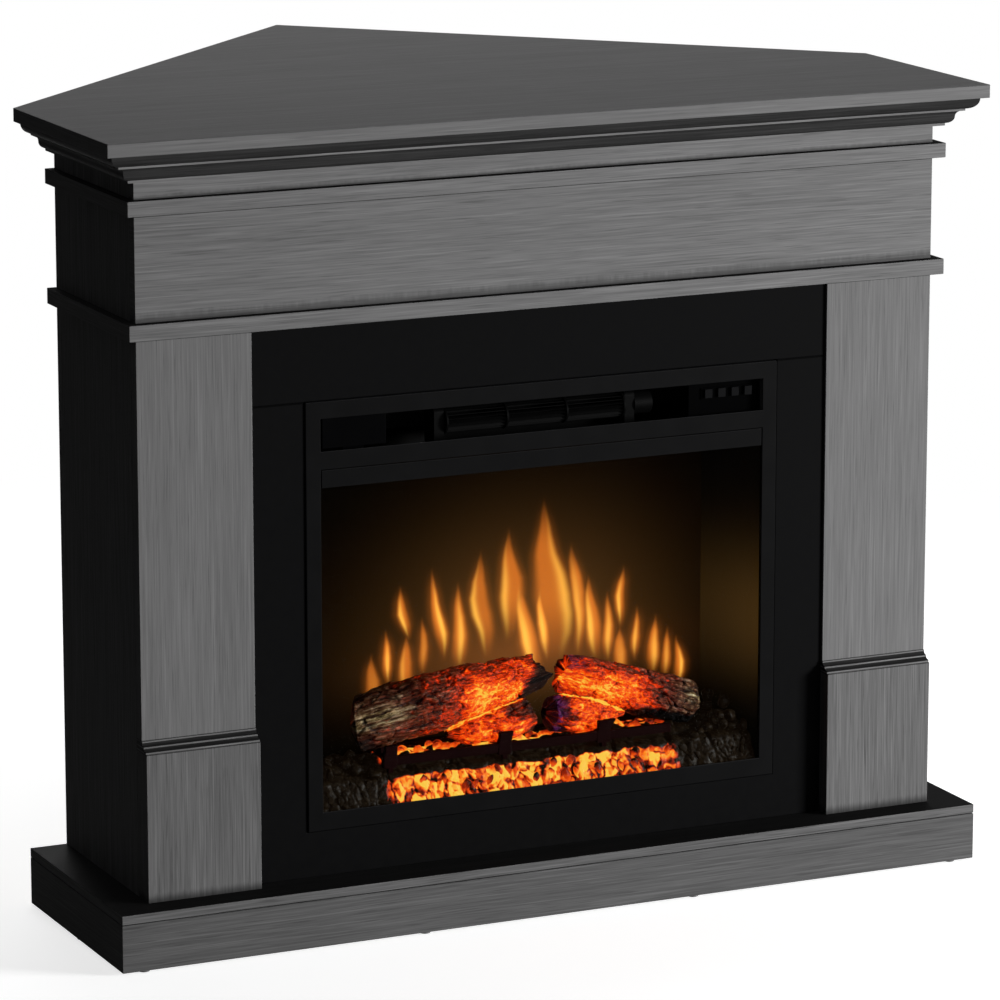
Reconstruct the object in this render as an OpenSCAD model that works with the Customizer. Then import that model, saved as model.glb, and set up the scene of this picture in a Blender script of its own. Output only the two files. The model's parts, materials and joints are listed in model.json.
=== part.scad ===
// Corner fireplace: a veneered mantel cabinet for a room corner, with an electric
// flame-effect fire in a black surround. Millimetres. +Z is up, +X is to the right of
// someone facing the fire, and the front looks along -Y. The origin is on the floor,
// under the middle of the bounding box.

/* [Mantel top] */
// How far the top board stands out over each side of the cabinet
top_overhang = 46; // [42:0.5:60]
// Straight part of each side of the top board, before its wall edge turns in
top_side = 288; // [280:2:330]
// Thickness of the top board
top_t = 15; // [12:0.5:22]
// Height of the whole mantel above the floor
total_h = 900; // [890:2:940]

/* [Cabinet] */
// Width of the cabinet between the outer faces of its side panels
body_w = 960; // [930:2:968]
// How far the cabinet's face lies behind the front edge of the top
face_setback = 47; // [42:0.5:60]
// Thickness of the cabinet's boards
board_t = 15; // [12:0.5:18]
// Width of each pilaster
pilaster_w = 132; // [110:1:140]
// Width of each board that closes the cabinet along the room's walls
wing_w = 260; // [200:5:268]
// Thickness of those boards
wing_t = 12; // [9:0.5:15]
// Height of the rail that joins the two boards under the top
rear_rail_h = 60; // [40:1:80]
// Distance of that rail from the rear ends of the two boards
rear_rail_inset = 1.5; // [0:0.5:60]

/* [Cornice and bands] */
// Plain strip at the head of the cornice
cornice_lip = 1.5; // [1:0.1:3]
// Radius of the upper, rounded member
ovolo_r = 12; // [9:0.5:13]
// Height of the fillet under it
fillet_h = 2.5; // [1.5:0.1:4]
// Step in under the fillet
fillet_step = 1.5; // [0.5:0.1:2]
// Radius of the hollow under the fillet
cove_r = 7; // [5:0.5:8]
// Radius of the round under the hollow
ogee_r = 8; // [6:0.5:9]
// How far the foot of the cornice stands out
foot_out = 10; // [6:0.5:11]
// Height of the foot of the cornice
foot_h = 3; // [2:0.25:5]
// Plain strip of frieze between the cornice and the upper band
strip_h = 19.5; // [14:0.5:26]
// Height of the upper band
upper_band_h = 16.5; // [12:0.5:20]
// Height of the lower band
lower_band_h = 17.5; // [12:0.5:20]
// How far the bands stand out from the cabinet
band_out = 11; // [6:0.5:16]

/* [Hearth and plinths] */
// How far the hearth stands out over each side of the cabinet
hearth_overhang = 43; // [20:0.5:45]
// Height of the hearth
hearth_h = 66; // [50:1:74]
// Thickness of the hearth's top board
hearth_top_t = 10; // [8:0.5:15]
// Shadow groove under the hearth's top board
groove = 1; // [0.5:0.1:2]
// Height of the plinth block under each pilaster
block_h = 165.5; // [130:0.5:200]
// How far the plinth block stands in front of the pilaster
block_out = 14; // [12.5:0.5:20]
// Height of the moulding between block and pilaster
moulding_h = 12; // [11:0.5:18]
// Diameter of the glides under the hearth
glide_d = 12; // [8:0.5:14]
// Height of the glides
glide_h = 2; // [1:0.25:5]

/* [Surround] */
// Height of the black header over the fire
header_h = 84; // [74:0.5:94]
// Height of the black board under the fire
sill_h = 51; // [40:0.5:60]
// Thickness of the black boards
surround_t = 12; // [9:0.5:14]
// How far the black boards lie behind the pilasters
surround_setback = 3; // [2:0.25:5]
// Gap round the fire's frame
frame_gap = 1; // [0.6:0.1:2]

/* [Fire front] */
// Width of the fire's frame
frame_w = 572; // [562:1:582]
// Width of the frame at each side of the window
stile_w = 17.5; // [14:0.5:20]
// Height of the frame under the window
bottom_rail_h = 20.5; // [16:0.5:26]
// Height of the window in the frame
window_h = 383.5; // [370:0.5:390]
// Height of the frame between window and slot
middle_rail_h = 20; // [16:0.5:24]
// Height of the slot for warm air and buttons
slot_h = 36; // [34:0.5:40]
// Height of the frame over the slot
top_rail_h = 19; // [17:0.5:24]
// How far the frame's face lies behind the cabinet's face
frame_setback = 1; // [0.5:0.25:1.5]
// Thickness of the frame's face
frame_t = 2; // [1.5:0.1:3]
// Depth of the flange round the frame
flange_d = 10; // [6:0.5:14]
// Thickness of the glass
glass_t = 4; // [3:0.5:5]
// Height of the trim strip over the top of the glass
trim_h = 20.5; // [16:0.5:24]
// Gap round the trim strip
trim_gap = 0.8; // [0.4:0.1:1.2]

/* [Fire case] */
// How far each side of the case lies inside the frame's edge
case_inset = 14; // [12.5:0.5:15]
// How far the case lies inside the frame's lower and upper edges
case_rise = 6; // [3:0.5:8]
// Depth of the case
case_d = 163; // [158:1:175]
// Thickness of the case's sheet steel
sheet_t = 1.2; // [0.8:0.1:1.6]
// Distance from the glass to the flame screen
screen_d = 82; // [76:1:88]
// Thickness of the flame screen
screen_t = 3; // [2:0.25:4]
// Width that each side wall turns in towards the screen
wall_taper = 32; // [20:1:40]
// Height of the ember bed above the window's lower edge
bed_h = 31; // [26:0.5:38]
// Distance of the removable rear cover from the flange of the appliance inlet
cover_gap = 10.5; // [6:0.5:40]
// Distance of the rear cover from the floor and the ceiling of the firebox
cover_rise = 19.5; // [12:0.5:40]

/* [Logs and grate] */
// Width of the grate
grate_w = 352; // [330:2:370]
// Height of the grate's bars
bar_h = 10; // [8:0.5:12]
// Thickness of the grate's bars
bar_t = 6; // [5:0.5:8]
// Height of the grate's legs
leg_h = 8; // [6:0.5:14]
// Height of the log stops over the front bar
stop_h = 12; // [8:0.5:16]
// Height of the rest under the large left log
rest_h = 8; // [6:0.5:12]
// Distance of the grate from the firebox's front
grate_setback = 9; // [8:0.5:12]
// Distance of the grate from the flame screen
grate_behind = 13; // [12:0.5:16]
// Radius of the large left log at its sawn end
log_r = 31; // [26:0.5:32]
// Distance of that end from the middle of the fire
log_end = 206; // [200:1:212]
// Radius of the large left log at its tip
tip_r = 20; // [16:0.5:22]
// Distance of the tip from the middle of the fire
tip_x = 8; // [0:0.5:12]
// Height of the tip's middle over the grate
tip_rise = 68; // [62:0.5:74]
// Radius of the large right log at its raised end
raised_r = 21; // [17:0.5:23]
// Distance of that end from the middle of the fire
raised_x = 44; // [40:0.5:50]
// Height of its middle over the grate
raised_rise = 64; // [60:0.5:68]
// Radius of the large right log at its lower end
low_r = 18; // [15:0.5:20]
// Distance of that end from the middle of the fire
low_x = 210; // [204:1:214]
// Radius of the small logs at their outer ends
small_r = 17; // [14:0.5:18]
// Length of the small left log along the fire
small_left_l = 94; // [88:0.5:98]
// Radius of the small left log at its inner end
small_left_r = 21; // [18:0.5:22]
// Length of the small right log along the fire
small_right_l = 92; // [86:0.5:96]
// Radius of the small right log at its inner end
small_right_r = 20; // [17:0.5:21]
// Distance between the small logs
small_gap = 20; // [16:0.5:24]
// Half the width of the heap of embers under the large right log
heap_half = 16; // [12:0.5:18]
// Height of that heap
heap_h = 10; // [8:0.5:12]

/* [Flame spindle] */
// Radius of the spindle's rod
rod_r = 2.5; // [2:0.1:3.5]
// Running clearance of the rod in its bearings
run_gap = 0.05; // [0.03:0.01:0.09]
// Reach of the foil petals from the rod's axis
petal_reach = 16; // [12:0.5:18]
// Number of petal pairs
petal_count = 9; // [5:1:11]
// Width of the lamp board under the spindle
lamp_board_w = 40; // [30:1:42]
// Thickness of the lamp board
lamp_board_t = 1.6; // [1:0.1:2]
// Height of its posts
post_h = 6; // [4:0.5:10]
// Radius of its posts
post_r = 3; // [2:0.25:4]
// Distance of the posts from its ends
post_inset = 8; // [5:0.5:12]
// Distance of the lamp board from the firebox's rear corners
lamp_end_gap = 20; // [10:1:40]
// Width of a lamp
lamp_w = 5; // [3:0.25:6]
// Height of a lamp
lamp_h = 1.5; // [1:0.1:3]

/* [Blower] */
// Radius of the blower wheel
wheel_r = 15; // [12:0.5:16]
// Length of the blower wheel
wheel_l = 218; // [190:2:224]
// Number of blades
blade_count = 20; // [12:1:24]
// Width of each bearing plate
plate_w = 12; // [9:0.5:13]
// Gap between wheel and bearing plate
wheel_gap = 1; // [0.5:0.1:1.5]
// Distance of the bearing plates' front edge from the wheel's axis
plate_front = 9; // [7:0.5:12]
// Distance of their rear edge from it
plate_back = 17; // [17:0.5:20]
// Radius of their upper corners
plate_round = 6; // [3:0.5:8]
// Distance of the heating element from the wheel
heater_gap = 8; // [5:0.5:12]
// Depth of the heating element
heater_d = 18; // [14:0.5:24]
// Height of the solid rails at its lower and upper edges
heater_rail = 9; // [5:0.5:12]
// Number of gaps between its fins
fin_gaps = 26; // [16:1:30]

/* [Buttons] */
// Width of a button
button_w = 9; // [7:0.25:10]
// Height of a button
button_h = 10; // [8:0.25:11]
// Distance between buttons
button_pitch = 16.5; // [15:0.25:17]
// Travel of a button
button_travel = 1.5; // [1:0.1:2]
// Clearance round a button
button_gap = 0.3; // [0.2:0.05:0.5]

/* [Hidden] */
$fn = 48;
eps = 0.01;
seat_gap = 0.2;          // fit of a part that is laid in its seat

// Colours
veneer = [0.42, 0.41, 0.41];
black = [0.10, 0.10, 0.11];
steel = [0.55, 0.56, 0.58];
bark = [0.38, 0.22, 0.13];

// Cabinet, worked out from the sizes above
half = body_w / 2;
top_w = body_w + 2 * top_overhang;
hearth_w = body_w + 2 * hearth_overhang;
top_d = top_side + top_w / 2;             // the wall edges meet at a right angle
y_front = -top_d / 2;
y_face = y_front + face_setback;
y_back = y_front + top_side;
y_inside = y_face + board_t;
under_z = total_h - top_t;
cornice_h = cornice_lip + ovolo_r + fillet_h + cove_r + ogee_r + foot_h;
fillet_out = foot_out + ogee_r + cove_r + fillet_step;
cornice_out = fillet_out + ovolo_r;
upper_band_z = under_z - cornice_h - strip_h - upper_band_h;
frame_h = bottom_rail_h + window_h + middle_rail_h + slot_h + top_rail_h;
frame_z = hearth_h + sill_h + frame_gap;
header_z = frame_z + frame_h + frame_gap;
lower_band_z = header_z + header_h;       // the frieze takes the height that is left
opening_half = half - pilaster_w;
y_surround = y_face + surround_setback;
y_shelf = max(y_inside, y_surround + surround_t);
block_z = hearth_h + block_h;
pilaster_z = block_z + moulding_h;

// Fire, worked out from the sizes above
y_frame = y_face + frame_setback;
y_case = y_frame + frame_t;
y_case_back = y_case + case_d;
case_half = frame_w / 2 - case_inset;
case_z = frame_z + case_rise;
case_top = frame_z + frame_h - case_rise;
window_half = frame_w / 2 - stile_w;
window_z = frame_z + bottom_rail_h;
window_top = window_z + window_h;
slot_z = window_top + middle_rail_h;
inner_half = case_half - sheet_t;
y_glass = y_case + glass_t;
glass_half = min(window_half + 2, inner_half - 0.3);
y_wall = y_glass + 0.3;                   // the glass is laid in loose, against the frame
y_screen = y_wall + screen_d;
floor_z = case_z + sheet_t;
ceiling_z = window_top + 2;               // upper face of the plate over the fire
screen_half = glass_half - wall_taper;
bed_z = window_z + bed_h;

// Grate and logs, worked out from the sizes above
y_grate = y_wall + grate_setback;
grate_d = screen_d - grate_setback - grate_behind;
bar_z = bed_z + leg_h;
bar_top = bar_z + bar_h;
grate_x = -12;                            // the grate stands a little to the left
cross_x = [grate_x - grate_w / 2 + 7, grate_x - grate_w / 2 + 146, grate_x - grate_w / 2 + 268];
log_y = y_grate + grate_d / 2;
small_y = y_grate + bar_t + 17;
heap_x = low_x - 12;
small_left_x = grate_x + 8;               // inner end of the small left log
small_right_x = small_left_x + small_gap;

// Spindle, blower and buttons, worked out from the sizes above
y_spindle = y_screen + screen_t + petal_reach + 4;
spindle_z = floor_z + 44 + petal_reach;
boss_l = 12;
motor_l = 24;
y_wheel = y_case + 35;
wheel_z = slot_z + wheel_r - 1;
plate_half = wheel_l / 2 + wheel_gap;
y_bezel = y_case + 8;
bezel_t = 2;
button_x = window_half - 40;
button_z = slot_z + slot_h - 13;
y_board = y_bezel + bezel_t + 8;
buttons = [-1.5, -0.5, 0.5, 1.5];
inlet_x = case_half - 29;
inlet_z = case_z + 27;

// A box between two corners
module span(a, b) {
    translate(a) cube(b - a);
}

// Points of an arc round [x, y]
function arc(x, y, rx, ry, from, to, n = 8) =
    [for (i = [0:n]) let (a = from + (to - from) * i / n) [x + rx * cos(a), y + ry * sin(a)]];

// Cornice section: x outwards, y down from the top board
function cornice_section() =
    let (ovolo_z = -cornice_lip,
         cove_z = ovolo_z - ovolo_r - fillet_h - cove_r)
    concat([[0, 0], [cornice_out, 0]],
        arc(fillet_out, ovolo_z, ovolo_r, ovolo_r, 0, -90),
        [[fillet_out, cove_z + cove_r]],
        arc(fillet_out - fillet_step, cove_z, cove_r, cove_r, 90, 180),
        arc(foot_out, cove_z, ogee_r, ogee_r, -11, -90),
        [[foot_out, -cornice_h], [0, -cornice_h]]);

// Rectangular section
function band_section(out, h) = [[0, 0], [out, 0], [out, h], [0, h]];

// Hearth board section, with the shadow groove at its head
function fascia_section(h) =
    [[0, 0], [board_t, 0], [board_t, h - groove], [board_t - groove, h - groove],
     [board_t - groove, h], [0, h]];

// A moulding along the front, mitred at both ends. Its section stands out from the
// plane y, and its inner corners are at x = -w and w.
module front_run(section, w, y, reach) {
    intersection() {
        translate([-w - reach, y, 0]) rotate([90, 0, 90])
            linear_extrude(2 * (w + reach)) polygon([for (p = section) [-p[0], p[1]]]);
        translate([0, 0, -total_h]) linear_extrude(2 * total_h)
            polygon([[-w, y], [w, y], [w + reach, y - reach], [-w - reach, y - reach]]);
    }
}

// The same moulding along the left side, mitred in front and square at the back
module side_run(section, w, y, y_end, reach) {
    intersection() {
        translate([0, y_end, 0]) rotate([90, 0, 0])
            linear_extrude(y_end - y + reach) polygon([for (p = section) [-w - p[0], p[1]]]);
        translate([0, 0, -total_h]) linear_extrude(2 * total_h)
            polygon([[-w, y], [-w - reach, y - reach], [-w - reach, y_end], [-w, y_end]]);
    }
}

// ---- mantel and cabinet ----

module mantel_top() {
    color(veneer) translate([0, 0, under_z]) linear_extrude(top_t)
        polygon([[-top_w / 2, y_front], [top_w / 2, y_front], [top_w / 2, y_back],
                 [0, y_front + top_d], [-top_w / 2, y_back]]);
}

module cornice_front() {
    color(veneer) translate([0, 0, under_z])
        front_run(cornice_section(), half, y_face, cornice_out);
}

module cornice_left() {
    color(veneer) translate([0, 0, under_z])
        side_run(cornice_section(), half, y_face, y_back, cornice_out);
}

module band_front(z, h) {
    color(veneer) translate([0, 0, z])
        front_run(band_section(band_out, h), half, y_face, band_out);
}

module band_left(z, h) {
    color(veneer) translate([0, 0, z])
        side_run(band_section(band_out, h), half, y_face, y_back, band_out);
}

module frieze_board() {
    color(veneer) span([-half, y_face, lower_band_z], [half, y_inside, under_z]);
}

module left_side_panel() {
    color(veneer) span([-half, y_inside, hearth_h], [-half + board_t, y_back, under_z]);
}

module left_pilaster() {
    color(veneer) span([-half, y_face, pilaster_z], [-opening_half, y_inside, lower_band_z]);
}

// Two small hollows between three fillets
module left_base_moulding() {
    low_out = block_out - 2;
    mid_out = block_out / 2 - 1;
    top_out = 1.2;
    low_h = 2.5;
    mid_h = 1;
    hollow_h = (moulding_h - low_h - mid_h - 1.5) / 2;
    mid_z = low_h + hollow_h;
    section = concat([[-board_t, 0], [low_out, 0], [low_out, low_h]],
        arc(low_out, mid_z, low_out - mid_out, hollow_h, 270, 180, 6),
        arc(mid_out, mid_z + mid_h + hollow_h, mid_out - top_out, hollow_h, 270, 180, 6),
        [[top_out, moulding_h], [-board_t, moulding_h]]);
    color(veneer) translate([-half, y_face, block_z]) rotate([90, 0, 90])
        linear_extrude(pilaster_w) polygon([for (p = section) [-p[0], p[1]]]);
}

module left_plinth_block() {
    color(veneer) span([-half, y_face - block_out, hearth_h], [-opening_half, y_inside, block_z]);
}

// ---- hearth ----

module hearth_top_board() {
    color(veneer) span([-hearth_w / 2, y_front, hearth_h - hearth_top_t],
                       [hearth_w / 2, y_back, hearth_h]);
}

fascia_h = hearth_h - hearth_top_t - glide_h;

module hearth_front_board() {
    color(veneer) translate([0, 0, glide_h])
        front_run(fascia_section(fascia_h), hearth_w / 2 - board_t, y_front + board_t, board_t);
}

module hearth_left_board() {
    color(veneer) translate([0, 0, glide_h])
        side_run(fascia_section(fascia_h), hearth_w / 2 - board_t, y_front + board_t,
                 y_back, board_t);
}

module hearth_back_rail() {
    color(veneer) span([-hearth_w / 2 + board_t, y_back - board_t, glide_h],
                       [hearth_w / 2 - board_t, y_back, hearth_h - hearth_top_t]);
}

// Round glides under the hearth's boards and under the two wall boards
module floor_glides() {
    edge = hearth_w / 2 - board_t - glide_d;
    rows = [y_front + board_t / 2, y_back - board_t / 2];
    color("gray") for (s = [-1, 1]) {
        for (y = rows, x = [edge, edge / 3])
            translate([s * x, y, 0]) cylinder(d = glide_d, h = glide_h);
        translate([s * (hearth_w / 2 - board_t / 2), (rows[0] + rows[1]) / 2, 0])
            cylinder(d = glide_d, h = glide_h);
        for (u = [2 * glide_d, wing_w - 2 * glide_d])
            mirror([s < 0 ? 0 : 1, 0, 0]) translate([-half, y_back, 0]) rotate(45)
                translate([u, -wing_t / 2, 0]) cylinder(d = glide_d, h = glide_h);
    }
}

// ---- black surround, wall boards and shelf ----

module surround_header() {
    color(black) span([-opening_half, y_surround, header_z],
                      [opening_half, y_surround + surround_t, lower_band_z]);
}

module surround_panel() {
    gap_half = frame_w / 2 + frame_gap;
    color(black) difference() {
        span([-opening_half, y_surround, hearth_h],
             [opening_half, y_surround + surround_t, header_z]);
        span([-gap_half, y_surround - 1, frame_z - frame_gap],
             [gap_half, y_surround + surround_t + 1, header_z + 1]);
    }
}

// A board along the room's wall, at 45 degrees, mitred against the cabinet's back
wing_reach = wing_w / sqrt(2);
wing_slope = wing_t / sqrt(2);

module left_back_panel() {
    color(veneer) translate([0, 0, glide_h]) linear_extrude(under_z - glide_h)
        polygon([[-half, y_back], [-half + wing_reach, y_back + wing_reach],
                 [-half + wing_reach + wing_slope, y_back + wing_reach - wing_slope],
                 [-half + 2 * wing_slope, y_back]]);
}

module rear_top_rail() {
    back = wing_reach - wing_slope - board_t - rear_rail_inset;
    near = half - 2 * wing_slope - back;
    far = near - board_t;
    y = y_back + back;
    color(veneer) translate([0, 0, under_z - rear_rail_h]) linear_extrude(rear_rail_h)
        polygon([[-near, y], [near, y], [far, y + board_t], [-far, y + board_t]]);
}

module insert_shelf() {
    color(veneer) span([-half + board_t, y_shelf, case_z - board_t],
                       [half - board_t, y_back, case_z]);
}

// ---- fire: case and front ----

module insert_case() {
    open_x = cover_half - 15;
    open_z = (cover_h - 30) / 2;
    color(black) difference() {
        span([-case_half, y_case, case_z], [case_half, y_case_back, case_top]);
        span([-inner_half, y_case - 1, floor_z],
             [inner_half, y_case_back - sheet_t, case_top - sheet_t]);
        translate([0, y_case_back, cover_mid]) cube([2 * open_x, 4, 2 * open_z], center = true);
        for (i = [-5:5]) translate([i * 18, y_case_back, vent_mid])
            cube([8, 4, 26], center = true);
        for (p = screw_places) translate(p) rotate([90, 0, 0])
            cylinder(r = screw_r + 0.1, h = 10, center = true);
        translate([inlet_x, y_case_back, inlet_z])
            cube([inlet_w + 2 * seat_gap, 4, inlet_h + 2 * seat_gap], center = true);
    }
    // bearing boss of the flame spindle
    color(black) translate([-inner_half - eps, y_spindle, spindle_z]) rotate([0, 90, 0])
        difference() {
            cylinder(r = rod_r + 3.5, h = boss_l);
            translate([0, 0, 2]) cylinder(r = rod_r + run_gap, h = boss_l);
        }
}

inlet_w = 27;
inlet_h = 20;
inlet_flange = 4;
cover_half = inlet_x - inlet_w / 2 - inlet_flange - cover_gap;
cover_mid = (floor_z + ceiling_z) / 2;
cover_h = ceiling_z - floor_z - 2 * cover_rise;
vent_mid = (ceiling_z + case_top) / 2;
screw_r = 1.5;
screw_places = [for (s = [-1, 1], t = [-1, 0, 1])
    [s * (cover_half - 7), y_case_back, cover_mid + t * (cover_h / 2 - 10)]];

module rear_cover() {
    color(black) difference() {
        span([-cover_half, y_case_back, cover_mid - cover_h / 2],
             [cover_half, y_case_back + sheet_t, cover_mid + cover_h / 2]);
        for (p = screw_places) translate(p) rotate([90, 0, 0])
            cylinder(r = screw_r + 0.1, h = 10, center = true);
        for (s = [-1, 1], i = [0:5])
            translate([s * cover_half * 0.4, y_case_back, cover_mid + cover_h / 4 + i * 9])
                cube([cover_half * 0.4, 4, 3], center = true);
    }
}

module case_screws() {
    color(steel) for (p = screw_places) translate(p) rotate([90, 0, 0]) {
        translate([0, 0, -sheet_t - 2]) cylinder(r = screw_r + 1.7, h = 2);
        translate([0, 0, -sheet_t - eps]) cylinder(r = screw_r, h = 8);
    }
}

module front_frame() {
    x = frame_w / 2;
    color(black) difference() {
        span([-x, y_frame, frame_z], [x, y_case + flange_d, frame_z + frame_h]);
        span([-x + frame_t, y_case, frame_z + frame_t],
             [x - frame_t, y_case + flange_d + 1, frame_z + frame_h - frame_t]);
        span([-window_half, y_frame - 1, window_z], [window_half, y_case + 1, window_top]);
        span([-window_half, y_frame - 1, slot_z], [window_half, y_case + 1, slot_z + slot_h]);
    }
}

module glass_pane() {
    color([0.7, 0.8, 0.85, 0.3])
        span([-glass_half, y_case, window_z - 8], [glass_half, y_glass, window_top - 1]);
}

module glass_top_trim() {
    color(black) span([-window_half + trim_gap, y_frame + 0.2, window_top - trim_h],
                      [window_half - trim_gap, y_case, window_top - trim_gap]);
}

// ---- fire: inside the firebox ----

// Plan of the firebox, drawn in by an inset and stretched in depth
module firebox_plan(inset, longer) {
    turn = wall_taper / screen_d * longer;
    polygon([[-glass_half + inset - turn, y_wall - longer],
             [glass_half - inset + turn, y_wall - longer],
             [screen_half - inset - turn, y_screen + longer],
             [-screen_half + inset + turn, y_screen + longer]]);
}

// Side walls and floor of bent sheet, under the plate that parts fire and heater
module firebox_liner() {
    color(black) difference() {
        translate([0, 0, floor_z]) linear_extrude(ceiling_z - floor_z) firebox_plan(0, 0);
        translate([0, 0, floor_z + sheet_t]) linear_extrude(ceiling_z - floor_z)
            firebox_plan(sheet_t, 1);
    }
    color(black) span([-inner_half + 0.2, y_wall, ceiling_z - sheet_t],
                      [inner_half - 0.2, y_case_back - sheet_t - 0.2, ceiling_z]);
}

module flame_screen() {
    color([0.35, 0.2, 0.08]) span([-screen_half, y_screen, floor_z],
                                  [screen_half, y_screen + screen_t, ceiling_z - sheet_t]);
}

// Moulded bed of embers: a front slope, then a level part that carries the grate
module ember_bed() {
    front = y_wall + 0.5;
    level = y_grate - 1;
    back = y_screen - 0.5;
    low = floor_z + sheet_t + 0.2;
    color([0.85, 0.35, 0.08]) intersection() {
        union() {
            translate([-glass_half, 0, 0]) rotate([90, 0, 90]) linear_extrude(2 * glass_half)
                polygon([[front, low], [back, low], [back, bed_z], [level, bed_z],
                         [front, window_z + 3]]);
            for (i = [-12:12]) let (x = i * 20 + 4, turn = 137.5 * i)
                if (min([for (c = cross_x) abs(x - c)]) > 14)
                    translate([x, y_screen - 26 - 8 * sin(turn), bed_z - 5])
                        rotate([turn, turn / 2, turn]) cube([17, 13, 11], center = true);
            // heap that carries the right end of the large right log
            span([heap_x - heap_half, log_y - 14, bed_z - 1],
                 [heap_x + heap_half, log_y + 14, bed_z + heap_h]);
        }
        translate([0, 0, floor_z]) linear_extrude(bed_z) firebox_plan(sheet_t + 0.5, -0.5);
    }
}

// Front and rear bars, three cross bars with upright stops, and legs
module log_grate() {
    y_rear = y_grate + grate_d - bar_t;
    color(black) {
        for (y = [y_grate, y_rear])
            span([grate_x - grate_w / 2, y, bar_z],
                 [grate_x + grate_w / 2, y + bar_t, bar_top]);
        for (x = cross_x) {
            span([x - bar_t / 2, y_grate, bar_z], [x + bar_t / 2, y_rear + bar_t, bar_top]);
            span([x - bar_t, y_grate, bar_z], [x + bar_t, y_grate + bar_t, bar_top + stop_h]);
            for (y = [y_grate, y_rear])
                span([x - bar_t / 2, y, bed_z], [x + bar_t / 2, y + bar_t, bar_z + eps]);
        }
        log_rest(0);
    }
}

// Raised rest on the left cross bar, grown by more
module log_rest(more) {
    span([cross_x[0] - bar_t / 2 - more, log_y - 9 - more, bar_top - eps],
         [cross_x[0] + bar_t / 2 + more, log_y + 9 + more, bar_top + rest_h + more]);
}

// A log between the middles of its two ends, with radii r1 and r2, grown by more
module log(a, b, r1, r2, more = 0) {
    v = b - a;
    flat = norm([v[0], v[1]]);
    translate(a) rotate([0, atan2(flat, v[2]), atan2(v[1], v[0])])
        translate([0, 0, -more]) cylinder(r1 = r1 + more, r2 = r2 + more, h = norm(v) + 2 * more);
}

module left_small_shape(more = 0) {
    log([small_left_x - small_left_l, small_y, bar_top + small_r - 3],
        [small_left_x, small_y + 4, bar_top + small_left_r], small_r, small_left_r, more);
}

module right_small_shape(more = 0) {
    log([small_right_x, small_y, bar_top + small_right_r + 4],
        [small_right_x + small_right_l, small_y + 6, bar_top + small_r - 6],
        small_right_r, small_r, more);
}

module left_large_shape(more = 0) {
    log([-log_end, log_y, bar_top + log_r + 3], [tip_x, log_y + 6, bar_top + tip_rise],
        log_r, tip_r, more);
}

module right_large_shape(more = 0) {
    log([raised_x, log_y + 4, bar_top + raised_rise],
        [low_x, log_y + 2, bed_z + heap_h + low_r - 1], raised_r, low_r, more);
}

// The grate's bars, as the seats that they leave in a log
module grate_seats() {
    log_rest(seat_gap);
    for (x = cross_x) {
        span([x - bar_t / 2 - seat_gap, y_grate - 20, bar_z - 30],
             [x + bar_t / 2 + seat_gap, y_screen, bar_top + seat_gap]);
        span([x - bar_t - seat_gap, y_grate - 20, bar_z - 30],
             [x + bar_t + seat_gap, y_grate + bar_t + seat_gap, bar_top + stop_h + 40]);
    }
    for (y = [y_grate, y_grate + grate_d - bar_t])
        span([-glass_half, y - seat_gap, bar_z - 30],
             [glass_half, y + bar_t + seat_gap, bar_top + seat_gap]);
}

module log_left_small() {
    color(bark) difference() {
        left_small_shape();
        grate_seats();
    }
}

module log_right_small() {
    color(bark) difference() {
        right_small_shape();
        grate_seats();
    }
}

module log_left_large() {
    color(bark) difference() {
        left_large_shape();
        left_small_shape(seat_gap);
        grate_seats();
    }
}

module log_right_large() {
    color(bark) difference() {
        right_large_shape();
        right_small_shape(seat_gap);
        left_large_shape(seat_gap);
        grate_seats();
        span([0, y_wall, bed_z - 60], [glass_half, y_screen, bed_z + heap_h + seat_gap]);
    }
}

// ---- fire: lamps and flame spindle ----

module lamp_board() {
    x = screen_half - lamp_end_gap;
    y = lamp_board_w / 2;
    top = floor_z + post_h + lamp_board_t;
    color([0.1, 0.35, 0.2]) {
        span([-x, y_spindle - y, floor_z + post_h], [x, y_spindle + y, top]);
        for (s = [-1, 1], t = [-1, 1])
            translate([s * (x - post_inset), y_spindle + t * (y - 2 * post_r), floor_z])
                cylinder(r = post_r, h = post_h + eps);
        for (i = [-6:6]) translate([i * x / 7, y_spindle, top - eps])
            span([-lamp_w / 2, -lamp_w / 2, 0], [lamp_w / 2, lamp_w / 2, lamp_h]);
    }
}

spindle_x0 = -inner_half + 3;
spindle_x1 = inner_half - motor_l + 8;

module flame_spindle() {
    span_x = spindle_x1 - spindle_x0 - 60;
    color(steel) {
        translate([spindle_x0, y_spindle, spindle_z]) rotate([0, 90, 0])
            cylinder(r = rod_r, h = spindle_x1 - spindle_x0);
        for (i = [0:petal_count - 1], s = [-1, 1])
            translate([spindle_x0 + 30 + span_x * (i + 0.5) / petal_count,
                       y_spindle, spindle_z])
                rotate([i * 40, 0, 0]) rotate([0, 0, 30 * s])
                    span([-7, -0.3, s > 0 ? 0 : -petal_reach + 2],
                         [7, 0.3, s > 0 ? petal_reach - 2 : 0]);
    }
}

module spindle_motor() {
    color(steel) translate([inner_half, y_spindle, spindle_z]) rotate([0, -90, 0])
        difference() {
            union() {
                cylinder(r = 17, h = motor_l - 7);
                cylinder(r = rod_r + 4, h = motor_l);
            }
            translate([0, 0, motor_l - 9]) cylinder(r = rod_r + run_gap, h = 10);
        }
}

// ---- fire: heater ----

shaft_r = 2;

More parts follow.
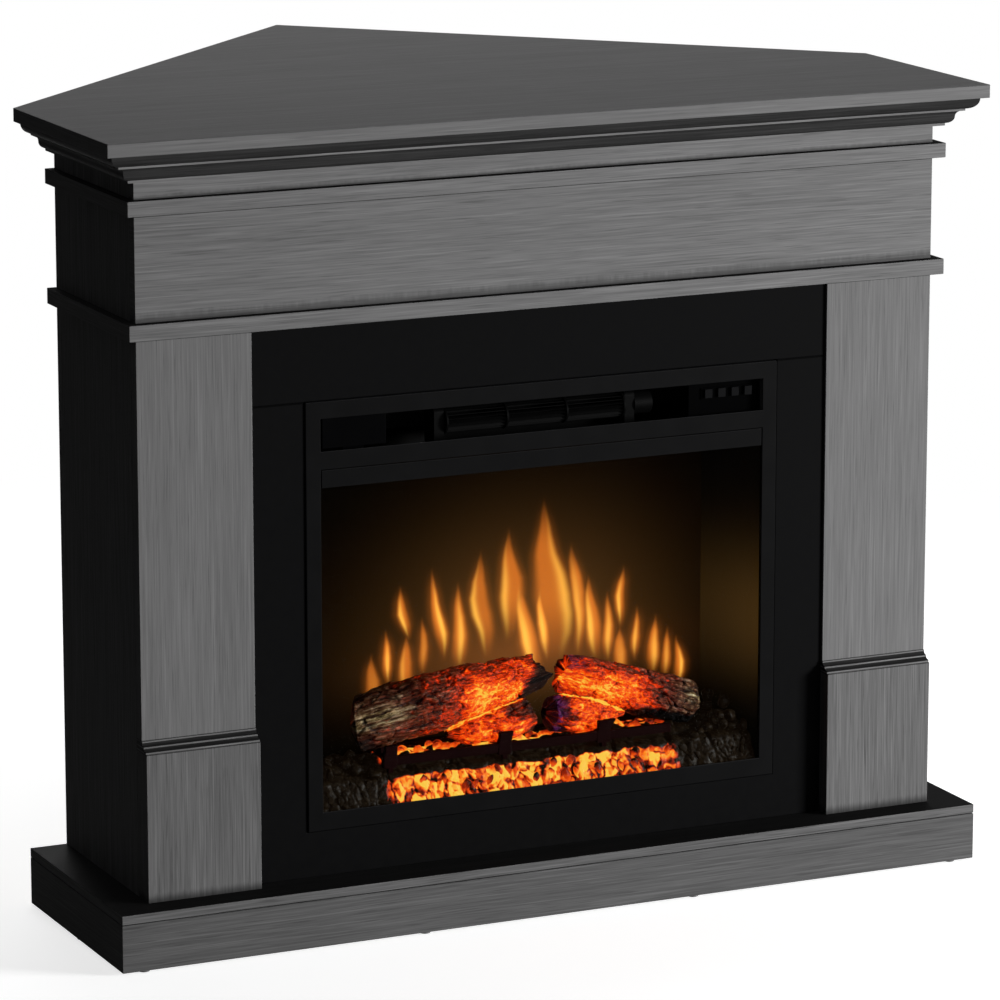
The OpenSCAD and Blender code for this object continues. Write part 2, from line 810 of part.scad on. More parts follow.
module blower_wheel() {
    color(black) translate([-wheel_l / 2, y_wheel, wheel_z]) rotate([0, 90, 0]) {
        for (z = [0, wheel_l / 3, 2 * wheel_l / 3, wheel_l - 2])
            translate([0, 0, z]) cylinder(r = wheel_r, h = 2);
        for (i = [0:blade_count - 1]) rotate(360 / blade_count * i)
            translate([wheel_r - 2.6, 0, 0]) rotate(35)
                span([-1.9, -0.3, 1], [1.9, 0.3, wheel_l - 1]);
        translate([0, 0, -wheel_gap - plate_w + 2])
            cylinder(r = shaft_r, h = wheel_l + 2 * (wheel_gap + plate_w) - 4);
    }
}

// Two bearing plates and the low sheet that joins them
module blower_bracket() {
    round_z = wheel_z + wheel_r + wheel_gap - plate_round;
    y_sheet = y_wheel + wheel_r + wheel_gap;
    color(black) {
        for (s = [0, 1]) mirror([s, 0, 0]) difference() {
            translate([plate_half, y_wheel, 0]) rotate([90, 0, 90]) linear_extrude(plate_w)
                polygon(concat(
                    [[-plate_front, ceiling_z], [plate_back, ceiling_z]],
                    arc(plate_back - plate_round, round_z, plate_round, plate_round, 0, 90),
                    arc(plate_round - plate_front, round_z, plate_round, plate_round, 90, 180)));
            translate([plate_half - 1, y_wheel, wheel_z]) rotate([0, 90, 0])
                cylinder(r = shaft_r + run_gap, h = plate_w + 2);
        }
        span([-plate_half - eps, y_sheet, ceiling_z],
             [plate_half + eps, y_wheel + plate_back, wheel_z - wheel_r / 2]);
    }
}

module blower_motor() {
    color(steel) translate([plate_half + plate_w, y_wheel + 2, wheel_z]) rotate([0, 90, 0])
        cylinder(r = 13, h = 22);
}

// Finned block that stands behind the wheel
module heating_element() {
    x = plate_half;
    y = y_wheel + wheel_r + heater_gap;
    top = case_top - sheet_t - heater_rail;
    pitch = 2 * x / fin_gaps;
    color([0.75, 0.72, 0.65]) difference() {
        span([-x, y, ceiling_z], [x, y + heater_d, top]);
        for (i = [0:fin_gaps - 1]) let (middle = -x + pitch * (i + 0.5))
            span([middle - pitch / 3, y - 1, ceiling_z + heater_rail],
                 [middle + pitch / 3, y + heater_d + 1, top - heater_rail]);
    }
}

// ---- fire: controls ----

// Receiver behind a plain dark window, on a foot
module receiver_window() {
    x = -window_half + 4;
    color([0.14, 0.14, 0.16]) {
        span([x, y_case + 3, slot_z + 2], [x + 75, y_case + 13, slot_z + slot_h - 1]);
        span([x + 25, y_case + 6, ceiling_z], [x + 50, y_case + 13, slot_z + 2 + eps]);
    }
}

// Tray behind the right end of the slot, with four holes and two posts
module control_bezel() {
    x0 = window_half - 88;
    low = slot_z - 3;
    high = slot_z + slot_h + 3;
    hole_w = button_w + 2 * button_gap;
    hole_h = button_h + 2 * button_gap;
    color(black) difference() {
        union() {
            span([x0, y_bezel, low - 2], [window_half + 1, y_bezel + bezel_t, high + 2]);
            span([x0, y_case, low - 2], [window_half + 1, y_bezel + eps, low]);
            span([x0, y_case, high], [window_half + 1, y_bezel + eps, high + 2]);
            span([button_x - 33, y_bezel - 1.2, button_z - 6.5],
                 [button_x + 33, y_bezel + eps, button_z + 6.5]);
            for (s = [-1, 1]) translate([button_x + 34 * s, y_bezel, slot_z + 5])
                rotate([-90, 0, 0]) cylinder(r = 2.5, h = y_board - y_bezel);
        }
        for (b = buttons) translate([button_x + b * button_pitch, y_bezel, button_z])
            cube([hole_w, 8, hole_h], center = true);
    }
}

module circuit_board() {
    color([0.1, 0.35, 0.2]) {
        span([button_x - 40, y_board, slot_z - 1],
             [button_x + 40, y_board + 1.6, slot_z + slot_h + 3]);
        for (b = buttons) translate([button_x + b * button_pitch, y_board, button_z])
            span([-3, -3.5, -3], [3, eps, 3]);
    }
}

// A button: cap, flange behind the bezel, and stem towards its switch
module button(index) {
    stem_end = y_board - 3.5 - button_travel - 0.2;
    y_flange = y_bezel + bezel_t + button_gap;
    color([0.45, 0.46, 0.48])
        translate([button_x + buttons[index] * button_pitch, 0, button_z]) {
            span([-button_w / 2, y_bezel - 4, -button_h / 2],
                 [button_w / 2, y_flange + eps, button_h / 2]);
            span([-button_w / 2 - 1.5, y_flange, -button_h / 2 - 1.5],
                 [button_w / 2 + 1.5, y_flange + 1, button_h / 2 + 1.5]);
            translate([0, y_flange + 1 - eps, 0]) rotate([-90, 0, 0])
                cylinder(r = 1.5, h = stem_end - y_flange - 1);
        }
}

// Appliance inlet in the case's back: a recessed socket with three flat pins
module mains_inlet() {
    color([0.12, 0.12, 0.13]) translate([inlet_x, y_case_back, inlet_z]) {
        difference() {
            union() {
                span([-inlet_w / 2, -17, -inlet_h / 2], [inlet_w / 2, 1, inlet_h / 2]);
                span([-inlet_w / 2 - inlet_flange, 0, -inlet_h / 2 - inlet_flange],
                     [inlet_w / 2 + inlet_flange, 2, inlet_h / 2 + inlet_flange]);
            }
            span([-inlet_w / 2 + 1.5, -15, -inlet_h / 2 + 1.5],
                 [inlet_w / 2 - 1.5, 3, inlet_h / 2 - 1.5]);
        }
        for (x = [-7, 0, 7]) translate([x, 0, x == 0 ? 3 : -3])
            span([-1, -15 - eps, -2.5], [1, -6, 2.5]);
    }
}

// ---- what is drawn ----

mantel_top();
cornice_front();
cornice_left();
mirror([1, 0, 0]) cornice_left();  // cornice_right
frieze_board();
band_front(upper_band_z, upper_band_h);  // upper_band_front
band_left(upper_band_z, upper_band_h);  // upper_band_left
mirror([1, 0, 0]) band_left(upper_band_z, upper_band_h);  // upper_band_right
band_front(lower_band_z, lower_band_h);  // lower_band_front
band_left(lower_band_z, lower_band_h);  // lower_band_left
mirror([1, 0, 0]) band_left(lower_band_z, lower_band_h);  // lower_band_right
left_side_panel();
mirror([1, 0, 0]) left_side_panel();  // right_side_panel
left_pilaster();
mirror([1, 0, 0]) left_pilaster();  // right_pilaster
left_base_moulding();
mirror([1, 0, 0]) left_base_moulding();  // right_base_moulding
left_plinth_block();
mirror([1, 0, 0]) left_plinth_block();  // right_plinth_block
hearth_top_board();
hearth_front_board();
hearth_left_board();
mirror([1, 0, 0]) hearth_left_board();  // hearth_right_board
hearth_back_rail();
floor_glides();
surround_header();
surround_panel();
left_back_panel();
mirror([1, 0, 0]) left_back_panel();  // right_back_panel
rear_top_rail();
insert_shelf();
insert_case();
rear_cover();
case_screws();
front_frame();
glass_pane();
glass_top_trim();
firebox_liner();
flame_screen();
ember_bed();
log_grate();
log_left_large();
log_left_small();
log_right_large();
log_right_small();
lamp_board();
flame_spindle();
spindle_motor();
blower_wheel();
blower_bracket();
blower_motor();
heating_element();
receiver_window();
control_bezel();
circuit_board();
button(0);  // button_power
button(1);  // button_heat
button(2);  // button_flame
button(3);  // button_timer
mains_inlet();
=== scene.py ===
import json
import math
from functools import partialmethod

import bmesh
import bpy
import numpy as np
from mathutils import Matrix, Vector

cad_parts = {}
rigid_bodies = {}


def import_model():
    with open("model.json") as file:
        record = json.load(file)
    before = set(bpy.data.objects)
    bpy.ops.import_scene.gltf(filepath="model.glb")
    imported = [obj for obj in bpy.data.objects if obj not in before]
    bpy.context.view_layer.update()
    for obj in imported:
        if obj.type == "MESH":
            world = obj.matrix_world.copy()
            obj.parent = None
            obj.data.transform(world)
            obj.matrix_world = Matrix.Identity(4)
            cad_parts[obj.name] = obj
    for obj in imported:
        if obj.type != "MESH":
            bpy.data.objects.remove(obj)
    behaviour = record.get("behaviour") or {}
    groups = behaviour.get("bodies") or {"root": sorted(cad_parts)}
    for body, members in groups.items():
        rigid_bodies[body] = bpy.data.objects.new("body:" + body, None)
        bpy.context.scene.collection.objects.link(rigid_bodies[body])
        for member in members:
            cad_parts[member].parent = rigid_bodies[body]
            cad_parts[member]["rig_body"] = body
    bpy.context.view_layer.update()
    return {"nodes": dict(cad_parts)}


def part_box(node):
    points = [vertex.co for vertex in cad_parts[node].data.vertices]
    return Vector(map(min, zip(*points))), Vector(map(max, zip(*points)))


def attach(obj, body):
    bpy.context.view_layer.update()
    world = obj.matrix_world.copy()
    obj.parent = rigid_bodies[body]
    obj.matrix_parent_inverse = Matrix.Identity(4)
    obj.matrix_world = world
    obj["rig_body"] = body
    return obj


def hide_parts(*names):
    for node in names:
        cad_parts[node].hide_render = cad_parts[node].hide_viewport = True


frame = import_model()
nodes = frame["nodes"]
scene = bpy.context.scene
scene.view_settings.view_transform = "Standard"

MM = 0.001
BLACK, WHITE = (0, 0, 0), (1, 1, 1)


def box_mm(node):
    """A node's lowest and highest corners in mm."""
    return [np.array(corner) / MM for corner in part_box(node)]


def heights(node):
    """The heights of a node's underside and top in mm."""
    low, high = box_mm(node)
    return low[2], high[2]


# ---- camera, lamps, floor ----

IMAGE = 1000             # the photograph's side in pixels
CAMERA_AT = (-2.4249, -5.4737, 1.7244)
YAW, PITCH = 0.434, 0.2155
FOCAL = 5262             # pixels
CENTRE = (501, 481)      # where the camera's axis meets the picture
SENSOR = 36              # mm

FLOOR_REACH, FLOOR_DROP = 12, 0.0005
FLOOR_LIT, FLOOR_SEEN = (0.07,) * 3, (0.8,) * 3    # its grey for the lamps' light and for the camera
FLOOR_SHINE = 0.74       # lifts what the camera sees to white where no shadow falls
FLOOR_FADE = 0.9, 2      # metres from the middle, between which it turns plain white
WORLD_LIGHT = 0.017


def add_object(name, data):
    thing = bpy.data.objects.new(name, data)
    scene.collection.objects.link(thing)
    return thing


def aim(thing, place, forward):
    thing.location = place
    thing.rotation_mode = "QUATERNION"
    thing.rotation_quaternion = Vector(forward).to_track_quat("-Z", "Y")


def make_camera():
    data = bpy.data.cameras.new("photo_camera")
    data.sensor_width = SENSOR
    data.lens = SENSOR * FOCAL / IMAGE
    data.shift_x = (IMAGE / 2 - CENTRE[0]) / IMAGE
    data.shift_y = (CENTRE[1] - IMAGE / 2) / IMAGE
    data.clip_start, data.clip_end = 0.1, 100
    scene.camera = add_object("photo_camera", data)
    level = math.cos(PITCH)
    aim(scene.camera, CAMERA_AT, (math.sin(YAW) * level, math.cos(YAW) * level, -math.sin(PITCH)))


def area_lamp(name, place, target, size, watts):
    data = bpy.data.lights.new(name, "AREA")
    data.shape = "RECTANGLE"
    data.size, data.size_y = size
    data.energy = watts
    aim(add_object(name, data), place, Vector(target) - Vector(place))


class Shader:
    """Makes the nodes of one material, or of the world, by short calls."""

    def __init__(self, name, kind="materials"):
        self.made = getattr(bpy.data, kind).new(name)
        self.made.use_nodes = True
        self.tree = self.made.node_tree
        self.tree.nodes.clear()

    def set(self, socket, value):
        if isinstance(value, bpy.types.NodeSocket):
            self.tree.links.new(value, socket)
        elif socket.type == "RGBA":
            socket.default_value = (*value, 1)
        else:
            socket.default_value = value

    def node(self, kind, inputs=None, **settings):
        made = self.tree.nodes.new("ShaderNode" + kind)
        for key, value in settings.items():
            setattr(made, key, value)
        for key, value in (inputs or {}).items():
            self.set(made.inputs[key], value)
        return made

    def out(self, kind, inputs=None, output=0, **settings):
        return self.node(kind, inputs, **settings).outputs[output]

    def math(self, operation, a, b=0, c=0, clamp=False):
        return self.out("Math", {0: a, 1: b, 2: c}, operation=operation, use_clamp=clamp)

    plus = partialmethod(math, "ADD")
    minus = partialmethod(math, "SUBTRACT")
    times = partialmethod(math, "MULTIPLY")
    power = partialmethod(math, "POWER")
    larger = partialmethod(math, "MAXIMUM")
    linear = partialmethod(math, "MULTIPLY_ADD")    # value, scale, offset

    def mix(self, factor, a, b, blend="MIX"):
        return self.out("Mix", {0: factor, 6: a, 7: b}, 2, data_type="RGBA", blend_type=blend)

    def ramp(self, factor, *stops):
        """stops are (place, colour or grey)."""
        made = self.node("ValToRGB", {0: factor})
        elements = made.color_ramp.elements
        while len(elements) < len(stops):
            elements.new(0.5)
        for element, (at, colour) in zip(elements, stops):
            element.position = at
            element.color = (*(colour if isinstance(colour, tuple) else (colour,) * 3), 1)
        return made.outputs[0]

    def between(self, noise, a, b):
        """From a to b over the middle of a noise's range."""
        return self.ramp(noise, (0.3, a), (0.7, b))

    def step(self, value, low, high):
        """0 at low, 1 at high, eased."""
        return self.out("MapRange", {0: value, 1: low, 2: high}, interpolation_type="SMOOTHSTEP")

    def split(self, vector):
        return self.node("SeparateXYZ", {0: vector}).outputs

    def position(self):
        return self.out("TexCoord", output="Object")

    def normal(self):
        return self.split(self.out("NewGeometry", output="True Normal"))

    def facing_up(self, low, high):
        return self.step(self.normal()[2], low, high)

    def read(self, layer, output="Fac"):
        """What new_piece keeps on the points."""
        return self.out("Attribute", output=output, attribute_name=layer)

    def stretched(self, vector, by):
        """The vector times by, one number or three."""
        return self.out("Mapping", {"Vector": vector, "Scale": by if isinstance(by, tuple) else (by,) * 3})

    def noise(self, by, detail, roughness=0.5, vector=None):
        vector = self.stretched(vector or self.position(), by)
        return self.out("TexNoise", {"Vector": vector, "Scale": 1, "Detail": detail, "Roughness": roughness})

    def bump(self, height, strength, distance):
        return self.out("Bump", {"Height": height, "Strength": strength, "Distance": distance})

    def seen(self):
        """1 for what the camera sees directly, in gloss or through glass."""
        rays = self.node("LightPath").outputs
        direct = self.larger(rays["Is Camera Ray"], rays["Is Glossy Ray"])
        return self.larger(direct, rays["Is Transmission Ray"])

    def surface(self, colour, roughness, specular=0.5, normal=None, metallic=0, glow=None):
        inputs = {"Base Color": colour, "Roughness": roughness, "Specular IOR Level": specular,
                  "Metallic": metallic}
        if normal:
            inputs["Normal"] = normal
        if glow:
            inputs.update({"Emission Color": glow, "Emission Strength": 1})
        return self.finish(self.out("BsdfPrincipled", inputs))

    def finish(self, shader, output="OutputMaterial"):
        self.node(output, {"Surface": shader})
        return self.made


def make_stage():
    s = Shader("pale_floor")
    seen = s.seen()
    place = s.split(s.position())
    radius = s.math("SQRT", s.plus(s.power(place[0], 2), s.power(place[1], 2)))
    near = s.out("AddShader", {
        0: s.out("BsdfDiffuse", {"Color": s.mix(seen, FLOOR_LIT, FLOOR_SEEN)}),
        1: s.out("Emission", {"Color": WHITE, "Strength": s.times(seen, FLOOR_SHINE)})})
    far = s.out("Emission", {"Color": WHITE, "Strength": seen})
    s.finish(s.out("MixShader", {0: s.step(radius, *FLOOR_FADE), 1: near, 2: far}))
    mesh = bpy.data.meshes.new("floor")
    r = FLOOR_REACH
    mesh.from_pydata([(-r, -r, 0), (r, -r, 0), (r, r, 0), (-r, r, 0)], [], [(0, 1, 2, 3)])
    mesh.materials.append(s.made)
    floor = add_object("floor", mesh)
    floor.location.z = -FLOOR_DROP

    s = Shader("studio", "worlds")
    level = s.out("MapRange", {0: s.seen(), 3: WORLD_LIGHT, 4: 1})
    scene.world = s.finish(s.out("Background", {"Color": WHITE, "Strength": level}), "OutputWorld")

    area_lamp("key", (4.4, -3.4, 0.9), (0, -0.4, 0.45), (1.6, 1.2), 462)
    area_lamp("top", (0.2, 0.7, 3.2), (0, 0, 0.9), (1.6, 0.8), 27.5)
    area_lamp("back", (0.9, 3.6, 0.35), (0, 0, 0.4), (2, 0.6), 90)


# ---- materials of the cabinet ----

VENEER = (0.172, 0.171, 0.172)
LOOKS_UP = 0.6, 0.95     # a normal's height, between which a face comes to look up
LINE = 0.3               # mm by which a dark line's edges are soft or uneven


def scaled(colour, by):
    return tuple(c * by for c in colour)


def veneer(name, grain, shade, tone=1, contrast=1):
    """Grey wood-grain foil with its grain along axis 0, 1 or 2. shade(s) darkens it."""
    s = Shader(name)
    run = s.position()
    if grain == 0:           # the edge bands at a board's ends run round the corner
        x, y, z = s.split(run)
        side = s.math("GREATER_THAN", s.math("ABSOLUTE", s.normal()[0]), 0.9)
        run = s.mix(side, run, s.out("CombineXYZ", {0: y, 1: x, 2: z}))
    wander = s.noise(2.2, 1)
    shift = s.out("CombineXYZ", {i: s.times(wander, 0.005) for i in range(3)})
    shifted = s.out("VectorMath", {0: run, 1: shift}, operation="ADD")

    def streaks(along, across, detail, roughness=0.55):
        return s.noise(tuple(along if i == grain else across for i in range(3)), detail, roughness, shifted)

    fine = streaks(9, 520, 3, 0.72)
    middle = streaks(4, 130, 2)
    broad = streaks(1.6, 20, 2)
    pores = s.step(streaks(18, 520, 1), 0.6, 0.72)
    light_lines = s.step(streaks(6, 430, 1), 0.57, 0.7)
    value = s.plus(s.times(fine, 0.64), s.times(middle, 0.14))
    value = s.plus(value, s.times(broad, 0.13))
    value = s.plus(value, s.times(light_lines, 0.13))
    value = s.minus(value, s.times(pores, 0.11))
    # a tone below 1 is painted shade over the whole board, for the boards low down
    base = scaled(VENEER, tone)
    colour = s.ramp(value, (0.28, scaled(base, 1 - 0.4 * contrast)), (0.458, base),
                    (0.64, scaled(base, 1 + 0.42 * contrast)))
    colour = s.mix(1, colour, shade(s), "MULTIPLY")
    height = s.minus(fine, s.times(pores, 0.6))
    return s.surface(colour, s.between(fine, 0.56, 0.7), 0.004, s.bump(height, 0.16, 0.0005))


def crease_shade(*lines, ledge=0.0):
    """Painted shade at joints and in corners: (height in mm, reach up or down from it, depth). A reach down
    paints a crisp shadow line below the joint, a reach up soft shade that rises from it.
    ledge paints shade on what looks up, on the narrow ledges."""
    def shade(s):
        z = s.split(s.position())[2]
        streaks = s.noise((190, 190, 14), 2)
        # painted shade on every face that looks up, as deep as ledge says
        up = s.facing_up(*LOOKS_UP)
        left = s.linear(up, -ledge, 1)
        for height, reach, depth in lines:
            if reach > 0:      # soft, upward from the joint
                uneven = s.linear(streaks, 0.9 * reach * MM, (height + 0.45 * reach) * MM)
                here = s.times(s.step(z, uneven, height * MM),
                               s.step(z, (height - LINE) * MM, (height - 0.1) * MM))
            else:              # a crisp line below it
                foot = s.linear(streaks, LINE * MM, (height + reach - LINE) * MM)
                here = s.times(s.step(z, foot, s.plus(foot, 0.5 * MM)),
                               s.step(z, (height + LINE) * MM, (height + 0.1) * MM))
            here = s.times(here, s.minus(1, up))
            left = s.times(left, s.linear(here, -depth, 1))
        return s.ramp(left, (0, 0), (1, 1))
    return shade


def hollow_shade(darkest, *bands):
    """Painted shade in the hollows of a moulding, between pairs of heights in mm, and on what looks up."""
    def shade(s):
        z = s.split(s.position())[2]
        dark = 0
        for low, high in bands:
            inside = s.times(s.step(z, (low - LINE) * MM, (low + LINE) * MM),
                             s.step(z, (high + LINE) * MM, (high - LINE) * MM))
            dark = s.plus(dark, inside, clamp=True)
        return s.ramp(s.larger(dark, s.facing_up(*LOOKS_UP)), (0, 1), (1, darkest))
    return shade


def black_board(name, shade=None):
    s = Shader(name)
    mottle = s.noise(90, 3)
    grain = s.noise(900, 1)
    colour = s.between(mottle, (0.0036, 0.0036, 0.0038), (0.0046, 0.0046, 0.0048))
    if shade:
        colour = s.mix(1, colour, shade(s), "MULTIPLY")
    return s.surface(colour, s.between(mottle, 0.58, 0.68), 0.015, s.bump(grain, 0.08, 0.0002))


def raw_board(name):
    s = Shader(name)
    chips = s.noise(420, 3, 0.7)
    broad = s.noise(9, 2)
    tint = s.between(chips, (0.2, 0.155, 0.105), (0.33, 0.265, 0.185))
    colour = s.mix(s.times(broad, 0.5), tint, (0.24, 0.19, 0.13))
    return s.surface(colour, 0.72, 0.25, s.bump(chips, 0.25, 0.0004))


def painted(name, colour, roughness, texture=700, specular=0.4, edges=0):
    """edges paints a highlight on narrow faces that look up, that many times lighter."""
    s = Shader(name)
    grain = s.noise(texture, 2)
    broad = s.noise(30, 2)
    tint = s.between(broad, scaled(colour, 0.85), scaled(colour, 1.15))
    # a painted highlight on the faces that look up
    if edges:
        tint = s.mix(s.facing_up(0.15, 0.45), tint, scaled(colour, edges))
    rough = s.between(grain, roughness - 0.05, roughness + 0.05)
    return s.surface(tint, rough, specular, s.bump(grain, 0.12, 0.0002))


def metal(name, colour, roughness, brushed):
    s = Shader(name)
    lines = s.noise(brushed, 2)
    tint = s.between(lines, scaled(colour, 0.82), colour)
    rough = s.between(lines, roughness - 0.06, roughness + 0.08)
    return s.surface(tint, rough, normal=s.bump(lines, 0.1, 0.0002), metallic=1)


def clear_glass(name):
    s = Shader(name)
    gloss = s.out("BsdfGlossy", {"Color": (0.9, 0.95, 0.93), "Roughness": 0.02})
    clear = s.out("BsdfTransparent", {"Color": (0.97, 0.98, 0.975)})
    fresnel = s.times(s.out("Fresnel", {"IOR": 1.4}), 0.012)
    return s.finish(s.out("MixShader", {0: fresnel, 1: clear, 2: gloss}))


def painted_glow_liner(name):
    """Sheet steel walls with the screen's light painted on them as a glow, most at the height of the flames.
    """
    s = Shader(name)
    x, y, z = s.split(s.position())
    off = s.math("DIVIDE", s.linear(z, 1 / MM, -303), 74)
    fade = s.power(2.718, s.times(s.power(off, 2), -1))
    fade = s.times(fade, s.step(z, 0.15, 0.262))
    near = s.step(y, -0.271, -0.353)
    wall = s.step(s.math("ABSOLUTE", s.normal()[0]), 0.5, 0.8)
    inside = s.step(y, -0.262, -0.272)
    # painted glow of the screen's light on the walls
    painted_glow = s.times(fade, s.linear(near, 0.5, 0.8))
    painted_glow = s.times(painted_glow, s.times(wall, inside))
    mottle = s.noise((60, 60, 20), 2)
    material = s.surface(s.between(mottle, (0.003, 0.0026, 0.002), (0.0046, 0.004, 0.003)), 0.55, 0.02,
                         glow=s.mix(s.times(painted_glow, 0.033), BLACK, (1, 0.48, 0.105)))
    material.cycles.emission_sampling = "NONE"
    return material


UPPER_FOOT, UPPER_TOP = heights("upper_band_front")
LOWER_FOOT, LOWER_TOP = heights("lower_band_front")
HEARTH_FOOT, HEARTH_TOP = heights("hearth_top_board")
MOULD_FOOT, MOULD_TOP = heights("left_base_moulding")
MATERIALS = {
    "black_header": black_board("black_header"),
    # a painted shadow line under the joint with the header
    "black_panel": black_board("black_panel", crease_shade((heights("surround_panel")[1], -2.2, 0.9))),
    "raw_board": raw_board("raw_board"),
    "bright_steel": metal("bright_steel", (0.55, 0.55, 0.56), 0.35, (40, 900, 900)),
    "heater_alloy": metal("heater_alloy", (0.075, 0.07, 0.064), 0.55, (900, 60, 60)),
    "foil": metal("foil", (0.8, 0.8, 0.8), 0.22, 200),
    "pane_glass": clear_glass("pane_glass"),
    "liner_steel": painted_glow_liner("liner_steel_lit"),
}
# Each crease_shade below is painted shade: shadow lines under bands, joints and edges, soft shade above
# bands and the hearth, and shade on what looks up.
for name, *look in (     # axis of the grain, shade, tone, contrast
        ("veneer_top", 0, crease_shade((heights("mantel_top")[1], -1, 0.45)), 1, 0.55),
        ("veneer_frieze", 0, crease_shade((UPPER_FOOT, -2.7, 0.7), (LOWER_TOP, 13, 0.55), (UPPER_TOP, 6, 0.5)),
         1, 0.75),
        # tone 0.68 here, 0.84 for the blocks and 0.8 for the hearth: painted shade, darker lower down
        ("veneer_base", 0, crease_shade((HEARTH_FOOT, -1.3, 0.9)), 0.68, 0.85),
        ("veneer_side", 2, crease_shade((LOWER_FOOT, -2.7, 0.7))),
        ("veneer_upright", 2, crease_shade((LOWER_FOOT, -2.7, 0.7), (MOULD_TOP, 1.4, 0.6)), 1, 0.55),
        ("veneer_block", 2, crease_shade((HEARTH_TOP, 13, 0.7), (MOULD_FOOT, -1, 0.75)), 0.84, 0.85),
        ("veneer_ledge", 0, crease_shade(ledge=0.94), 1, 0.8),
        ("veneer_hearth", 0, crease_shade(ledge=0.93), 0.8),
        # painted shade in the hollows of the cornice and of the base moulding
        ("veneer_cornice", 0, hollow_shade(0.2, (871.5, 886), (854, 869))),
        ("veneer_moulding", 0, hollow_shade(
            0.12, (MOULD_FOOT + 1.7, MOULD_FOOT + 5), (MOULD_FOOT + 6.6, MOULD_TOP - 1.6)))):
    MATERIALS[name] = veneer(name, *look)
# the last column paints a highlight on edges that look up
for name, *look in (     # colour, roughness, scale of the grain, specular, lightening of edges
        ("case_steel", (0.02, 0.02, 0.021), 0.5),
        ("black_steel", (0.0043, 0.0043, 0.0045), 0.5, 1400, 0.02, 3),
        ("grate_iron", (0.0062, 0.001, 0.0011), 0.5, 500, 0.01),
        ("blower_black", (0.002, 0.002, 0.002), 0.45, 700, 0.025),
        ("circuit", (0.02, 0.09, 0.04), 0.4, 300),
        ("window_plastic", (0.0011, 0.0011, 0.0013), 0.3, 900, 0.01),
        ("bezel_plastic", (0.0008, 0.0008, 0.0009), 0.45, 900, 0.004),
        ("button_plastic", (0.0042, 0.0042, 0.0046), 0.45, 1500, 0.02),
        ("seal_foam", (0.0025, 0.0025, 0.0027), 0.85, 2200, 0.01),
        ("glide_plastic", (0.16, 0.16, 0.16), 0.5)):
    MATERIALS[name] = painted(name, *look)


# ---- finished CAD nodes, and small solids ----

DRESSED = (              # material, rounding of its edges in mm, nodes
    ("veneer_top", 0.6, "mantel_top"),
    ("veneer_cornice", 0.25, "cornice_front cornice_left cornice_right"),
    ("veneer_frieze", 0.3, "frieze_board"),
    ("veneer_ledge", 0.4, "upper_band_front upper_band_left upper_band_right lower_band_front "
     "lower_band_left lower_band_right"),
    ("veneer_side", 0.3, "left_side_panel right_side_panel"),
    ("veneer_upright", 0.5, "left_pilaster right_pilaster"),
    ("veneer_moulding", 0.15, "left_base_moulding right_base_moulding"),
    ("veneer_block", 0.5, "left_plinth_block right_plinth_block"),
    ("veneer_hearth", 0.5, "hearth_top_board"),
    ("veneer_base", 0.4, "hearth_front_board hearth_left_board hearth_right_board"),
    ("raw_board", 0.3, "hearth_back_rail"),
    ("raw_board", 0.4, "left_back_panel right_back_panel rear_top_rail insert_shelf"),
    ("black_header", 0.9, "surround_header"),
    ("black_panel", 0.9, "surround_panel"),
    ("black_steel", 0.6, "front_frame glass_top_trim"),
    ("grate_iron", 0.8, "log_grate"),
    ("window_plastic", 0.4, "receiver_window"),
    ("bezel_plastic", 0.2, "control_bezel"),
    ("button_plastic", 0.4, "button_power button_heat button_flame button_timer"))
PLAIN = (                # material, nodes that keep their CAD shape
    ("glide_plastic", "floor_glides"),
    ("case_steel", "insert_case rear_cover"),
    ("bright_steel", "case_screws spindle_motor"),
    ("pane_glass", "glass_pane"),
    ("liner_steel", "firebox_liner"),
    ("circuit", "lamp_board circuit_board"),
    ("foil", "flame_spindle"),
    ("blower_black", "blower_wheel blower_bracket blower_motor"),
    ("heater_alloy", "heating_element"),
    ("window_plastic", "mains_inlet"))
MERGE = 1e-5             # metres
FLAT, SHARP = math.radians(0.5), math.radians(32)
STOPS = (("a", 7, 2), ("b", 146, 4), ("c", 268, 9))    # mm from the grate's left end, and lean in mm


def round_edges(mesh, edges, width):
    bmesh.ops.bevel(mesh, geom=edges, offset=width * MM, segments=2, profile=0.5, affect="EDGES",
                    clamp_overlap=True)


def dressed(node, material, width):
    """A copy of a CAD node with softly rounded edges, which stands for it."""
    source = nodes[node]
    piece = add_object(node + "_finished", source.data.copy())
    mesh = bmesh.new()
    mesh.from_mesh(piece.data)
    bmesh.ops.remove_doubles(mesh, verts=mesh.verts, dist=MERGE)
    bmesh.ops.dissolve_limit(mesh, angle_limit=FLAT, verts=mesh.verts, edges=mesh.edges)
    sharp = [e for e in mesh.edges if len(e.link_faces) == 2 and e.calc_face_angle(0) > SHARP]
    round_edges(mesh, sharp, width)
    for face in mesh.faces:
        face.smooth = False
        face.material_index = 0
    mesh.to_mesh(piece.data)
    mesh.free()
    piece.data.materials.clear()
    piece.data.materials.append(MATERIALS[material])
    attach(piece, source["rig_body"])
    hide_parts(node)


def finish_cad_nodes():
    for material, width, names in DRESSED:
        for node in names.split():
            dressed(node, material, width)
    for material, names in PLAIN:
        for node in names.split():
            nodes[node].data.materials[0] = MATERIALS[material]    # the only slot


def add_piece(name, mesh, material, replaces=None):
    mesh.materials.append(material)
    piece = add_object(name, mesh)
    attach(piece, "cabinet")
    if replaces:
        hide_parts(replaces)


def add_solid(name, mesh, edges, width, material):
    round_edges(mesh, edges, width)
    data = bpy.data.meshes.new(name)
    mesh.to_mesh(data)
    mesh.free()
    add_piece(name, data, MATERIALS[material])


